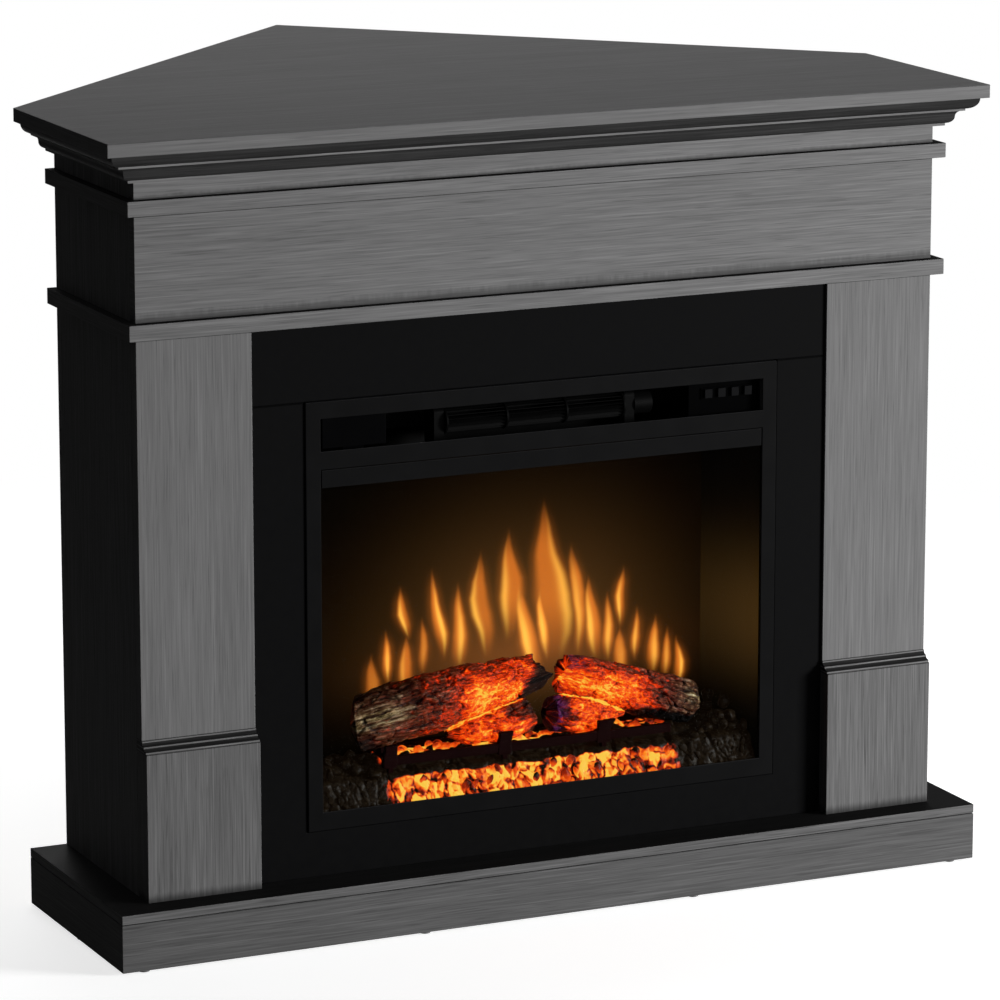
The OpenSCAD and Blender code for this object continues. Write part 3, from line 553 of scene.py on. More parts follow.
def grate_stops():
    """The broad leaning faces of the grate's three stops, cast with the bars."""
    low, high = box_mm("log_grate")
    front, rear = low[1] - 0.6, low[1] + 6.5
    foot, top = high[2] - 25, high[2] + 0.5
    for letter, along, lean in STOPS:
        x = low[0] + along
        mesh = bmesh.new()
        rings = ((foot, x - 8.5, x + 7.5, 0), (foot + 6, x - 9, x + 8.5, 0),
                 (foot + 14, x - 8, x + 8, 0.4), (top, x - 7 + lean, x + 7.5 + lean, 1.8))
        loops = [[mesh.verts.new((px * MM, py * MM, z * MM)) for px, py in
                  ((a, front + back), (b, front + back), (b, rear), (a, rear))] for z, a, b, back in rings]
        for lower, upper in zip(loops, loops[1:]):
            for k in range(4):
                mesh.faces.new((lower[k], lower[(k + 1) % 4], upper[(k + 1) % 4], upper[k]))
        mesh.faces.new(loops[0][::-1])
        mesh.faces.new(loops[-1])
        add_solid("grate_stop_" + letter, mesh, mesh.edges[:], 1.1, "grate_iron")


def frame_seal():
    """The foam strip that closes the joint between the appliance's frame and the surround from behind."""
    high = box_mm("front_frame")[1]
    front, foot = box_mm("surround_panel")[1][1] + 0.05, heights("insert_shelf")[1] + 0.2
    outer, inner, crown, under = high[0] + 7, high[0] - 9, high[2] + 7, high[2] - 4.5
    outline = ((-outer, foot), (-outer, crown), (outer, crown), (outer, foot),
               (inner, foot), (inner, under), (-inner, under), (-inner, foot))
    mesh = bmesh.new()
    a, b = ([mesh.verts.new((x * MM, y * MM, z * MM)) for x, z in outline] for y in (front, front + 2.8))
    for loop, turn in ((a, -1), (b, 1)):
        for face in ((0, 1, 6, 7), (1, 2, 5, 6), (2, 3, 4, 5)):
            mesh.faces.new([loop[i] for i in face[::turn]])
    for i in range(8):
        after = (i + 1) % 8
        mesh.faces.new((a[i], a[after], b[after], b[i]))
    bmesh.ops.recalc_face_normals(mesh, faces=mesh.faces)
    sharp = [e for e in mesh.edges if e.calc_face_angle(0) > 1]
    add_solid("frame_seal", mesh, sharp, 0.6, "seal_foam")


# ---- patterns in space, on numpy arrays ----

RANDOM = np.random.default_rng(20)
ORDER = RANDOM.permutation(256)
ORDER = np.concatenate([ORDER] * 3)
SLOPES = RANDOM.normal(size=(256, 3))
SLOPES /= np.linalg.norm(SLOPES, axis=1)[:, None]
PLACES = RANDOM.random((256, 3))
SPREAD = 0.9             # the part of a cell that its point may lie in


def lattice(cell, seed):
    x, y, z = (cell[:, i] + seed * 17 & 255 for i in range(3))
    return ORDER[ORDER[ORDER[x] + y] + z]


def noise(points, seed):
    """Smooth noise of about -1 to 1 with features one unit wide."""
    cell = np.floor(points).astype(np.int64)
    part = points - cell
    blend = part ** 3 * (part * (part * 6 - 15) + 10)
    total = np.zeros(len(points))
    for i in range(8):
        corner = np.array([i & 1, i >> 1 & 1, i >> 2])
        weight = np.prod(np.where(corner, blend, 1 - blend), axis=1)
        total += weight * np.sum(SLOPES[lattice(cell + corner, seed)] * (part - corner), axis=1)
    return total * 1.6


def layered(points, octaves, seed, fall=0.5):
    total, weight = np.zeros(len(points)), 1
    for i in range(octaves):
        total += weight * noise(points * 2.03 ** i, seed + i)
        weight *= fall
    return total


def cells(points, seed):
    """Distances to the nearest and second nearest of scattered points, a number for the nearest, and the
    way from it."""
    cell = np.floor(points).astype(np.int64)
    first = np.full(len(points), 9.0)
    second, owner, away = first.copy(), np.zeros(len(points), np.int64), np.zeros(points.shape)
    for i in range(27):
        corner = cell + np.array([i % 3, i // 3 % 3, i // 9]) - 1
        key = lattice(corner, seed)
        off = points - (corner + 0.5 + SPREAD * (PLACES[key] - 0.5))
        gap = np.linalg.norm(off, axis=1)
        nearer = gap < first
        second = np.where(nearer, first, np.minimum(second, gap))
        owner = np.where(nearer, key, owner)
        away = np.where(nearer[:, None], off, away)
        first = np.where(nearer, gap, first)
    return first, second, PLACES[owner, 0], away


def ease(value, low, high):
    t = np.clip((value - low) / (high - low), 0, 1)
    return t * t * (3 - 2 * t)


def bell(value, width):
    return np.exp(-(value / width) ** 2)


def pairs(a, b):
    """Each value of a with each of b."""
    return (g.ravel() for g in np.meshgrid(a, b, indexing="ij"))


def wrapped(angle):
    """The same angle between -pi and pi."""
    return (angle + math.pi) % (2 * math.pi) - math.pi


def grid_faces(rows, columns, closed=False):
    """Quads between rows of points; closed joins each row's end to its start."""
    wide = columns if closed else columns - 1
    r, c = pairs(np.arange(rows - 1), np.arange(wide))
    here, after = r * columns, (c + 1) % columns
    return np.column_stack([here + c, here + after, here + columns + after, here + columns + c])


def new_piece(name, points, faces, material, layers, replaces=None, flat=False):
    """points in mm. layers are numbers or vectors per point, kept as attributes for the material."""
    mesh = bpy.data.meshes.new(name)
    faces = faces.tolist() if isinstance(faces, np.ndarray) else faces
    mesh.from_pydata((points * MM).tolist(), [], faces)
    for key, values in layers.items():
        values = np.asarray(values, np.float32)
        kind, field = ("FLOAT", "value") if values.ndim == 1 else ("FLOAT_VECTOR", "vector")
        mesh.attributes.new(key, kind, "POINT").data.foreach_set(field, values.ravel())
    mesh.polygons.foreach_set("use_smooth", [not flat] * len(mesh.polygons))
    mesh.update()
    add_piece(name, mesh, material, replaces)


# ---- the screen behind the logs, with the flames that are thrown onto it ----

# For each flame, up to its semicolon: the place of its bright streak across it from -1 to 1, the streak's
# width, how bright its body and its streak are, and from its tip down in mm: x, z, half its width
FLAMES = """
0.1 0.9 0.3 0.1  -172.5 281 0.7  -171.8 268.5 5  -170.5 256 8.3  -171 242 8  -171 230 5;
0.1 0.55 0.5 0.75  -154.8 306 0.5  -153.8 293 3.3  -153.1 280.5 5  -152.4 268 4.3  -152.4 254 1.5;
-0.35 0.55 0.42 0.9  -137.4 355 0.5  -136.7 344 3.4  -134 328 6.4  -130.3 315.5 5  -127.6 302 1;
-0.5 0.5 0.4 0.35  -130.3 300 0.7  -130.3 287.5 4.4  -130.3 272 7.7  -131 256 7.4  -131 240 5;
0 0.8 0.36 0.16  -110.1 316.5 0.5  -109.1 302 3.4  -108.5 288 4.7  -108.8 274 4  -109.5 261 1.6;
0.25 0.5 0.46 0.9  -98 371.6 0.5  -97.3 356 2.7  -94.3 337 5.1  -89.9 317.5 7.4  -86.5 301 7.8  -84.5 289 5.1
-83.1 275 1.5;
0.1 0.5 0.42 0.72  -67.2 354 0.5  -66.2 337 3.7  -64.2 318 6.8  -64.2 296 8.8  -64.2 277 7.8  -64.2 262 4.5;
-0.62 0.42 0.36 0.8  -38 387.6 0.5  -39 372 4.4  -41.7 356.5 8.2  -41 337.5 12.3  -36.9 318 13  -32.8 299 9.6
-30.1 272 4;
-0.66 0.42 0.4 0.7  -4.5 409.5 0.5  -4.5 394 4.1  -2.7 374.6 9.3  -0.7 355.5 14.4  0 336.5 15.8  0 317.5 13.1
-2.7 288 6;
-0.3 0.6 0.44 0.85  8.2 354.6 0.5  9.6 338.6 4.1  12.4 319.4 7.9  16.5 300 10.3  21.3 280.5 11  26.1 261 9.3
32.3 240 3;
0.62 0.36 0.38 0.66  40.3 440.7 0.5  40.3 424 4.5  40.6 402 9.3  42.7 379.6 15.6  46.8 357 21.5  51.7 331 25
55.1 308.6 23.9  57.2 286 19.1  55.1 258 11;
-0.2 0.7 0.5 0.85  35.1 345 0.5  35.4 322 4.5  37.9 300 6.9  41.3 280 5.9  44.1 262 2.4;
-0.25 0.6 0.42 0.55  74.2 385.4 0.5  75.3 370 4.5  78.7 350.6 7.7  82.9 331 8.7  85 308.7 7.7  85 286.4 5.9
83.6 262 3;
-0.4 0.5 0.44 0.85  94.8 347.4 0.5  96.1 330 4.5  98.9 310.4 8.4  101 291 9.8  103.1 275 8.7  105.2 256 5;
0 0.6 0.42 0.62  119.6 324.8 0.5  119.9 308 3.5  120.6 289 6.3  120.6 271.5 6.7  120.3 252 3;
-0.15 0.5 0.42 0.8  138.8 351.6 0.5  136.7 338.4 4.2  134.6 322.7 6  134.6 306.7 4.9  135.3 289 1.5;
0.1 0.7 0.38 0.25  135 282.7 0.5  135.3 270 5.6  135.7 257 8.1  135.7 243 7  135.7 230 5;
-0.1 0.6 0.4 0.6  156.1 303 0.5  156.1 288.5 3.2  155.4 272.6 5.3  154.3 260 4.2  153.6 250 1.4;
0.15 0.6 0.44 0.6  179.7 290.8 0.5  179.3 276.4 4.6  178.3 260.5 7.4  177.6 246 7.4  177.2 231 4;
0 0.6 0.4 0.38  195.6 274.7 0.5  195.3 262 3.5  194.2 249 5.3  193.5 236 5  193.1 226 3;
0.35 0.5 0.46 0.8  207 263 0.5  209.5 250.7 3.6  211.2 237.7 6  211.6 225 5.3  210.5 215 3"""
FLAME_LEFT, FLAME_RIGHT, FLAME_FOOT, FLAME_TOP = -192, 222, 208, 446    # mm, where its grid is fine
FLAME_LIGHTS = {
    "glow_haze": (1, 0.43, 0.105), "red_glow": (1, 0.24, 0.05),
    "body": (1.42, 0.335, 0.032), "streak": (0.72, 0.47, 0.065)}


def flame_light(x, z):
    """How strongly each point of the screen is lit by the bodies and by the streaks of the flames."""
    body, streak = np.zeros(len(x)), np.zeros(len(x))
    for flame in FLAMES.split(";"):
        at, wide, dim, bright, *path = map(float, flame.split())
        middles, levels, halves = np.reshape(path, (-1, 3))[::-1].T
        middle = np.interp(z, levels, middles)
        half = np.interp(z, levels, halves)
        top, foot = levels[-1], levels[0]
        tall = top - foot
        off = x - middle - 0.6 * np.sin(z / 9)
        soft = 1.9 + 2.6 * (1 - ease(z, foot, foot + 0.6 * tall))
        inside = ease(half - np.abs(off), -soft, 0.6 * soft + 0.45 * half)
        rise = ease(z, foot - 10, foot + 0.42 * tall) * ease(z, top + 9, top - 0.3 * tall)
        glowing = 0.16 * bell(np.maximum(np.abs(off) - half, 0), 5.5)
        body = np.maximum(body, (0.88 * inside + glowing) * rise * dim)
        across = (off / np.maximum(half, 0.8) - at) / wide
        line = np.exp(-across ** 2 * 1.4) * inside
        line = line * ease(z, foot - 6, foot + 0.34 * tall) * ease(z, top, top - 0.6 * tall)
        streak = np.maximum(streak, line * bright)
    return body, streak


def lit_screen(name):
    s = Shader(name)
    grain = s.noise((260, 260, 90), 3)
    # the flames and the glow round them are painted light, emitted by the screen
    colour, *others = [s.mix(s.read(layer), BLACK, tint) for layer, tint in FLAME_LIGHTS.items()]
    for other in others:
        colour = s.mix(1, colour, other, "ADD")
    dark = s.between(grain, (0.0007, 0.0005, 0.0003), (0.0012, 0.0009, 0.0005))
    material = s.surface(dark, 0.6, 0, glow=colour)
    material.cycles.emission_sampling = "NONE"
    return material


def make_screen():
    def spread(low, start, end, high, counts):
        """Coarse, fine and coarse again."""
        runs = zip((low, start, end), (start, end, high), counts)
        coarse, fine, rest = (np.linspace(a, b, n) for a, b, n in runs)
        return np.concatenate([coarse[:-1], fine, rest[1:]])

    low, high = box_mm("flame_screen")
    xs = spread(low[0], FLAME_LEFT, FLAME_RIGHT, high[0], (14, 300, 8))
    zs = spread(low[2], FLAME_FOOT, FLAME_TOP, high[2], (18, 210, 24))
    z, x = pairs(zs, xs)
    front = np.column_stack([x, np.full(len(x), low[1]), z])
    rows, columns = len(zs), len(xs)
    rim = np.concatenate([np.arange(columns), np.arange(1, rows) * columns + columns - 1,
                          (rows - 1) * columns + np.arange(columns - 2, -1, -1),
                          np.arange(rows - 2, 0, -1) * columns])
    back = front[rim].copy()
    back[:, 1] = high[1]
    n, count = len(front), len(rim)
    side = [[int(rim[(i + 1) % count]), int(rim[i]), n + i, n + (i + 1) % count] for i in range(count)]
    faces = grid_faces(rows, columns).tolist() + side + [list(range(n + count - 1, n - 1, -1))]
    body, streak = flame_light(x, z)
    # painted glow of the fire's light on the screen: a broad haze round the flames and a red band near their
    # feet
    glow_haze = (0.076 * np.exp(-((x - 15) / 150) ** 2 - ((z - 300) / 115) ** 2)
            + 0.01 * np.exp(-(x / 235) ** 2 - ((z - 268) / 70) ** 2)) * ease(z, 150, 262)
    red_glow = 0.1 * np.exp(-((x - 20) / 120) ** 2 - ((z - 266) / 30) ** 2)
    layers = {"body": body, "streak": streak, "glow_haze": glow_haze, "red_glow": red_glow}
    layers = {k: np.concatenate([v, np.zeros(count)]) for k, v in layers.items()}
    new_piece("screen_with_flames", np.concatenate([front, back]), faces, lit_screen("lit_screen"), layers,
              "flame_screen", flat=True)


# ---- logs ----

AROUND, RING_STEP, CAP_RINGS = 168, 0.95, 16    # points round a log, mm between its rings, rings of an end


def bark_material():
    s = Shader("log_bark")
    warmth, crack, worn, ash, violet = (s.read(k) for k in ("warmth", "crack", "worn", "ash", "violet"))
    run = s.read("run", "Vector")    # mm along the log and across it
    small = s.noise((0.17, 0.34, 0.34), 4, 0.6, run)
    large = s.noise((0.035, 0.06, 0.06), 2, 0.5, run)
    fibre = s.noise((0.03, 0.3, 0.3), 3, 0.6, run)
    crumbs = s.noise((0.38, 0.6, 0.6), 3, 0.65, run)
    swirl = s.out("VectorMath", {0: s.out("TexNoise", {"Vector": s.stretched(run, 0.13)}, 1),
                                 1: (9, 6, 6)}, operation="MULTIPLY")
    bent = s.out("VectorMath", {0: run, 1: swirl}, operation="ADD")

    def cracks(by, wide):
        edge = s.out("TexVoronoi", {"Vector": s.stretched(bent, by), "Scale": 1}, "Distance",
                     feature="DISTANCE_TO_EDGE")
        return s.step(edge, wide, 0.02)

    net = s.larger(cracks((0.085, 0.16, 0.16), 0.13), s.times(cracks((0.21, 0.33, 0.33), 0.16), 0.55))
    net = s.times(net, s.step(small, 0.36, 0.54))
    warm = warmth
    for pattern, share in ((large, 0.5), (small, 0.5), (fibre, 0.3)):
        warm = s.plus(warm, s.linear(pattern, share, -share / 2))
    warm = s.minus(warm, s.times(s.facing_up(0.35, 0.95), 0.16))
    plate = s.minus(warm, s.linear(s.step(crumbs, 0.54, 0.66), 0.18, 0.05))
    open_to_fire = s.plus(s.noise((0.04, 0.065, 0.065), 1, 0.5, run), s.linear(warmth, 0.22, -0.12))
    hot = s.times(crack, s.step(open_to_fire, 0.47, 0.58))
    cold = s.minus(crack, hot)
    plate = s.times(plate, s.linear(cold, -0.38, 1))
    line = s.linear(warm, 1.15, 0.1)
    lit = s.plus(plate, s.times(hot, s.minus(line, plate)))
    lit = s.plus(s.times(lit, 0.755), s.times(net, s.linear(warm, 0.3, 0.01)), clamp=True)
    glow = s.ramp(
        lit, (0.14, BLACK), (0.26, (0.038, 0.0015, 0)), (0.36, (0.11, 0.005, 0)),
        (0.46, (0.4, 0.015, 0.001)), (0.57, (0.86, 0.036, 0.002)), (0.69, (1, 0.095, 0.004)),
        (0.82, (1, 0.22, 0.008)), (0.97, (1, 0.55, 0.055)))
    bark = s.ramp(
        s.plus(s.times(small, 0.55), s.times(fibre, 0.45)), (0.36, (0.014, 0.003, 0.002)),
        (0.5, (0.072, 0.014, 0.006)), (0.6, (0.15, 0.04, 0.022)), (0.68, (0.48, 0.22, 0.15)))
    pale = s.ramp(
        s.plus(s.times(fibre, 0.65), s.times(small, 0.35)), (0.41, (0.016, 0.01, 0.004)),
        (0.49, (0.2, 0.14, 0.056)), (0.55, (0.62, 0.48, 0.25)), (0.61, (1, 0.88, 0.56)))
    colour = bark
    for share, over in (
            (worn, pale), (violet, (0.1, 0.012, 0.11)), (s.times(crack, 0.9), (0.003, 0.0015, 0.0015)),
            (ash, (0.002, 0.0016, 0.0016)), (s.step(lit, 0.3, 0.62), (0.02, 0.004, 0.001))):
        colour = s.mix(share, colour, over)
    height = s.plus(s.times(crumbs, 0.5), s.times(fibre, 0.8))
    dull = s.plus(s.linear(ash, 0.4, 0.16), s.times(crumbs, 0.4))
    return s.surface(colour, dull, 0.035, s.bump(height, 1, 0.0019), glow=glow)


def make_log(bark, node, start, end, profile, seed, warmth, worn=None, ends=(0, 0), ash=None,
             violet=None, under_log=None, caps=((0.9, 0), (0.9, 0)), slant=(0, 0)):
    """A log from start to end in mm, with its radius given along it. warmth, worn, ash and violet take
    (t along it, angle from its front, roughness). ends says how far each end is torn; below 0 it tapers to
    a blunt tip. under_log (start, end, profile) is the log that lies on it, with fire in the gap between
    them. caps gives the ash and the glow of the faces at its two ends. slant (reach in mm, lean) carries
    the start outward, the front further than the rear."""
    start, end = np.array(start, float), np.array(end, float)
    axis = end - start
    length = np.linalg.norm(axis)
    axis /= length
    front = np.array([0.0, -1.0, 0.0])
    front -= axis * front.dot(axis)
    front /= np.linalg.norm(front)
    up = np.cross(axis, front)
    up *= 1 if up[2] > 0 else -1
    along = int(length / RING_STEP)
    t = np.concatenate([np.zeros(CAP_RINGS), np.linspace(0, 1, along), np.ones(CAP_RINGS)])
    shrink = np.concatenate([np.linspace(0.02, 0.97, CAP_RINGS), np.ones(along),
                             np.linspace(0.97, 0.02, CAP_RINGS)])
    angle = np.linspace(0, 2 * math.pi, AROUND, endpoint=False)
    tt, aa = pairs(t, angle)
    run, cos, sin, cap = tt * length, np.cos(aa), np.sin(aa), np.repeat(shrink, AROUND)
    stops = np.array(profile, float)
    order = np.arange(len(stops))
    passed = np.interp(tt, stops[:, 0], order)
    whole = np.floor(passed)
    part = passed - whole
    radius = np.interp(whole + ease(part, 0, 1) * 0.5 + part * 0.5, order, stops[:, 1])
    out = cos[:, None] * front + sin[:, None] * up
    where = start + axis * run[:, None] + out * radius[:, None]
    lumpy = 0.07 * radius * noise(where / 34, seed) + 0.045 * radius * noise(where / 15, seed + 3)

    def rolled(first, size):
        return np.column_stack([first, cos * size, sin * size])

    # bark: plates between cross cracks, and long furrows that wander
    unrolled = rolled(run, radius)
    bend = np.column_stack([noise(where / 12, seed + i) for i in (5, 6, 7)])
    near, next_near, tone, _ = cells(unrolled / (19, 10, 10) + 0.34 * bend, seed)
    plates = ease(next_near - near, 0.02, 0.17)
    plates = 1 - (1 - plates) * (0.25 + 0.75 * ease(noise(where / 15, seed + 20), -0.35, 0.2))
    furrow = ease(np.abs(noise(rolled(run / 95, 1.35) + 0.12 * bend, seed + 9)), 0.09, 0)
    fibre = noise(rolled(run / 30, 7) + 0.2 * bend, seed + 10)
    rough = layered(where / 7, 4, seed + 11, 0.55)
    skin = -1.7 * (1 - plates) - 3 * furrow + 0.6 * rough + 1.2 * (tone - 0.5) + 0.6 * fibre
    radius = radius + lumpy + skin * ease(cap, 0.3, 1)
    torn = np.zeros(len(tt))
    for jag, at in zip(ends, (0, 1)):
        gap = np.abs(tt - at) * length
        if jag > 0:      # torn into splinters, the longest at the lower front
            spikes = noise(np.column_stack([cos * 1.7, sin * 1.7, np.full(len(aa), at + seed)]), seed + 2)
            spikes = 0.4 * spikes + 1.1 * np.exp(-wrapped(aa + 0.25) ** 2 / 0.6)
            spikes += 0.25 * noise(np.column_stack([cos * 6, sin * 6, np.full(len(aa), at)]), seed)
            reach = ease(gap, 24, 0) * ease(cap, -0.2, 0.9)
            dish = jag * 0.8 * (1 - ease(cap, 0, 1)) * (gap < 1e-3)
            torn += (1 if at else -1) * (jag * spikes * reach - dish)
            radius = radius * (1 - 0.3 * reach * ease(spikes, 0.1, 1.1))
        elif jag < 0:    # worn to a blunt tip
            radius = radius * np.sqrt(np.clip(1 - ease(gap, -jag, 0) * 0.86, 0.02, 1))
        else:            # sawn, with its edge rounded over
            radius = radius - 3.2 * ease(gap, 7, 0) ** 2
    sawn = (0.5 * noise(where / 3, seed) + 0.4 * np.sin(cap * 34)) * (cap < 0.98)
    slanted = -(slant[0] + slant[1] * cos * radius * cap) * ease(run, 75, 0)
    points = start + axis * (run + torn + sawn + slanted)[:, None] + out * (radius * cap)[:, None]
    turned = wrapped(aa)
    rim = ease(cap, 0.55, 1)
    hot = warmth(tt, turned, rough) + 0.1 * (tone - 0.5)
    if under_log:
        first, last = (np.array(c, float) for c in under_log[:2])
        along_it = np.clip((points - first) @ (last - first) / np.sum((last - first) ** 2), 0, 1)
        off = np.linalg.norm(points - first - along_it[:, None] * (last - first), axis=1)
        off -= np.interp(along_it, *np.array(under_log[2], float).T)
        uneven = 0.62 + 0.55 * noise(where / 9, seed + 30)
        hot += uneven * bell(np.maximum(off - 1, 0), 1.8) * ease(turned, 0, 0.4)
    cap_ash, cap_glow = (np.where(tt > 0.5, last, first) for first, last in zip(*caps))
    cap_glow = np.clip(cap_glow * (1 + 0.9 * noise(out * 3.2, seed + 31)), -1, 1.3)

    def drawn(how):
        return how(tt, turned, rough) if how else np.zeros(len(tt))

    layers = {
        "run": unrolled + 60 * seed,
        "warmth": np.clip(hot, 0, 1.3) * rim + cap_glow * (1 - rim),
        "crack": np.clip((1 - plates) * 0.9 + furrow, 0, 1) * rim,
        "worn": np.clip(drawn(worn) * (0.8 + 0.8 * fibre), 0, 1),
        "violet": np.clip(drawn(violet), 0, 1),
        "ash": np.clip((cap < 0.97) * cap_ash + drawn(ash), 0, 1)}
    faces = grid_faces(len(t), AROUND, closed=True)[:, ::-1]
    new_piece(node + "_bark", points, faces, bark, layers, node)


def make_logs():
    def under(angle, at, wide):   # 1 on the side of the log that faces angle, 0 away from it
        return bell(wrapped(angle - at), wide)

    bark = bark_material()
    left = ((-206, -313.7, 221.5), (8, -307.7, 254.5),
            ((0, 30), (0.15, 32.5), (0.38, 34), (0.6, 31), (0.8, 26), (1, 21)))
    right = ((44, -309.7, 250.5), (212, -311.7, 196.5),
             ((0, 22), (0.15, 25.5), (0.5, 27), (0.8, 26.5), (1, 23)))
    make_log(
        bark, "log_left_large", *left, 1,
        lambda t, a, r: (
            (0.13 + 0.3 * ease(t, 0.06, 0.44) + 0.06 * r + 0.05 * under(a, -0.1, 0.5)
             + ease(t, 0.42, 0.68) * (0.5 * under(a, -0.2, 0.9) + 0.16 * under(a, 1, 0.5)))
            * (1 - ease(t - 0.08 * a, 0.89, 0.96))),
        lambda t, a, r: ease(t, 0.34, 0.1) * (0.1 + 0.8 * under(a, 0.32, 0.27)) + 0.2 * r,
        ends=(-8, 15), caps=((1, -0.8), (0.6, 0.2)), slant=(9, 0.55),
        ash=lambda t, a, r: (
            0.88 * ease(t - 0.08 * a, 0.88, 0.96) + 0.9 * ease(t, 0.16, 0.06) * ease(a, -0.15, -0.5)))
    make_log(
        bark, "log_right_large", *right, 2,
        lambda t, a, r: (
            (0.1 + 0.36 * ease(t, 0.88, 0.62) + 0.06 * r + 0.5 * under(a, -0.1, 0.75) * ease(t, 0.66, 0.36)
             + 0.12 * under(a, 1.1, 0.4) * ease(t, 0.6, 0.3))
            * (1 - 0.75 * ease(t, 0.42, 0.6) * ease(a, -0.25, -0.75)) - 0.08 * ease(t, 0.12, 0.02)),
        lambda t, a, r: ease(t, 0.72, 0.97) * (0.12 + 0.5 * under(a, 0.5, 0.45)) + 0.15 * r,
        ends=(9, -14), caps=((0.2, 0.56), (0.9, -0.8)),
        ash=lambda t, a, r: (
            ease(t, 0.4, 0.7) * ease(a, -0.25, -0.65) + 0.4 * ease(t, 0.5, 0.8) * ease(r, 0.35, -0.25)),
        violet=lambda t, a, r: 0.3 * ease(t, 0.16, 0.02))
    make_log(
        bark, "log_left_small", (-104, -321.7, 200.5), (-4, -316.7, 209.5),
        ((0, 13), (0.25, 18), (0.6, 22), (1, 20)), 3,
        lambda t, a, r: (
            0.74 + 0.06 * r - 0.22 * ease(t, 0.14, 0) - 0.34 * ease(t, 0.6, 0.8) * ease(a, -0.1, 0.5)
            - 0.25 * ease(t, 0.88, 1) - 0.25 * ease(a, -0.7, -1.2)),
        ends=(-26, 6), under_log=left)
    make_log(
        bark, "log_right_small", (16, -320.7, 210.5), (116, -316.7, 200.5),
        ((0, 19), (0.3, 22), (0.6, 21), (1, 14)), 4,
        lambda t, a, r: (
            0.3 + 0.46 * ease(t, 0.1, 0.38) + 0.06 * r - 0.1 * ease(t, 0.8, 1) - 0.25 * ease(a, -0.7, -1.2)),
        ends=(-9, -34), under_log=right, violet=lambda t, a, r: 0.7 * ease(t, 0.26, 0.1))


# ---- embers and coals ----

# the moulded bed's section, (y, z) in mm: a steep front, then level back to the screen
BED = np.array([(-350.6, 128.5), (-348.6, 140), (-341.6, 163.5), (-337, 167), (-331, 169),
                (-322, 178), (-300, 180), (-290, 172), (-272.2, 170)])
BED_ROWS, BED_COLUMNS, BED_FRONT = 116, 430, -352.3
GLOW_FROM, GLOW_TO = -196, 182


def ember_material():
    s = Shader("ember_resin_lit")
    fine = s.noise(300, 3, 0.55)
    broad = s.noise(70, 2)
    lit = s.plus(s.read("glow"), s.linear(fine, 0.26, -0.13))
    lit = s.plus(lit, s.linear(broad, 0.7, -0.35))
    lit = s.minus(lit, s.read("crust"), clamp=True)
    light = s.ramp(
        lit, (0, (0.002, 0.0009, 0.0003)), (0.08, (0.05, 0.003, 0.001)), (0.3, (0.32, 0.016, 0.002)),
        (0.48, (0.84, 0.075, 0.005)), (0.66, (1, 0.22, 0.014)), (0.88, (1, 0.58, 0.065)))
    colour = s.ramp(fine, (0.3, (0.0022, 0.0013, 0.0006)), (0.55, (0.007, 0.0043, 0.0021)),
                    (0.74, (0.02, 0.0138, 0.008)))
    return s.surface(colour, s.between(fine, 0.24, 0.46), 0.024, s.bump(fine, 0.4, 0.0008), glow=light)


def wall_at(y):
    """Half the firebox's width in mm."""
    return np.interp(y, (-352.7, -270.7), (270, 238))


def glow_at(x):
    return ease(x, GLOW_FROM - 12, GLOW_FROM + 22) * ease(x, GLOW_TO + 16, GLOW_TO - 26)


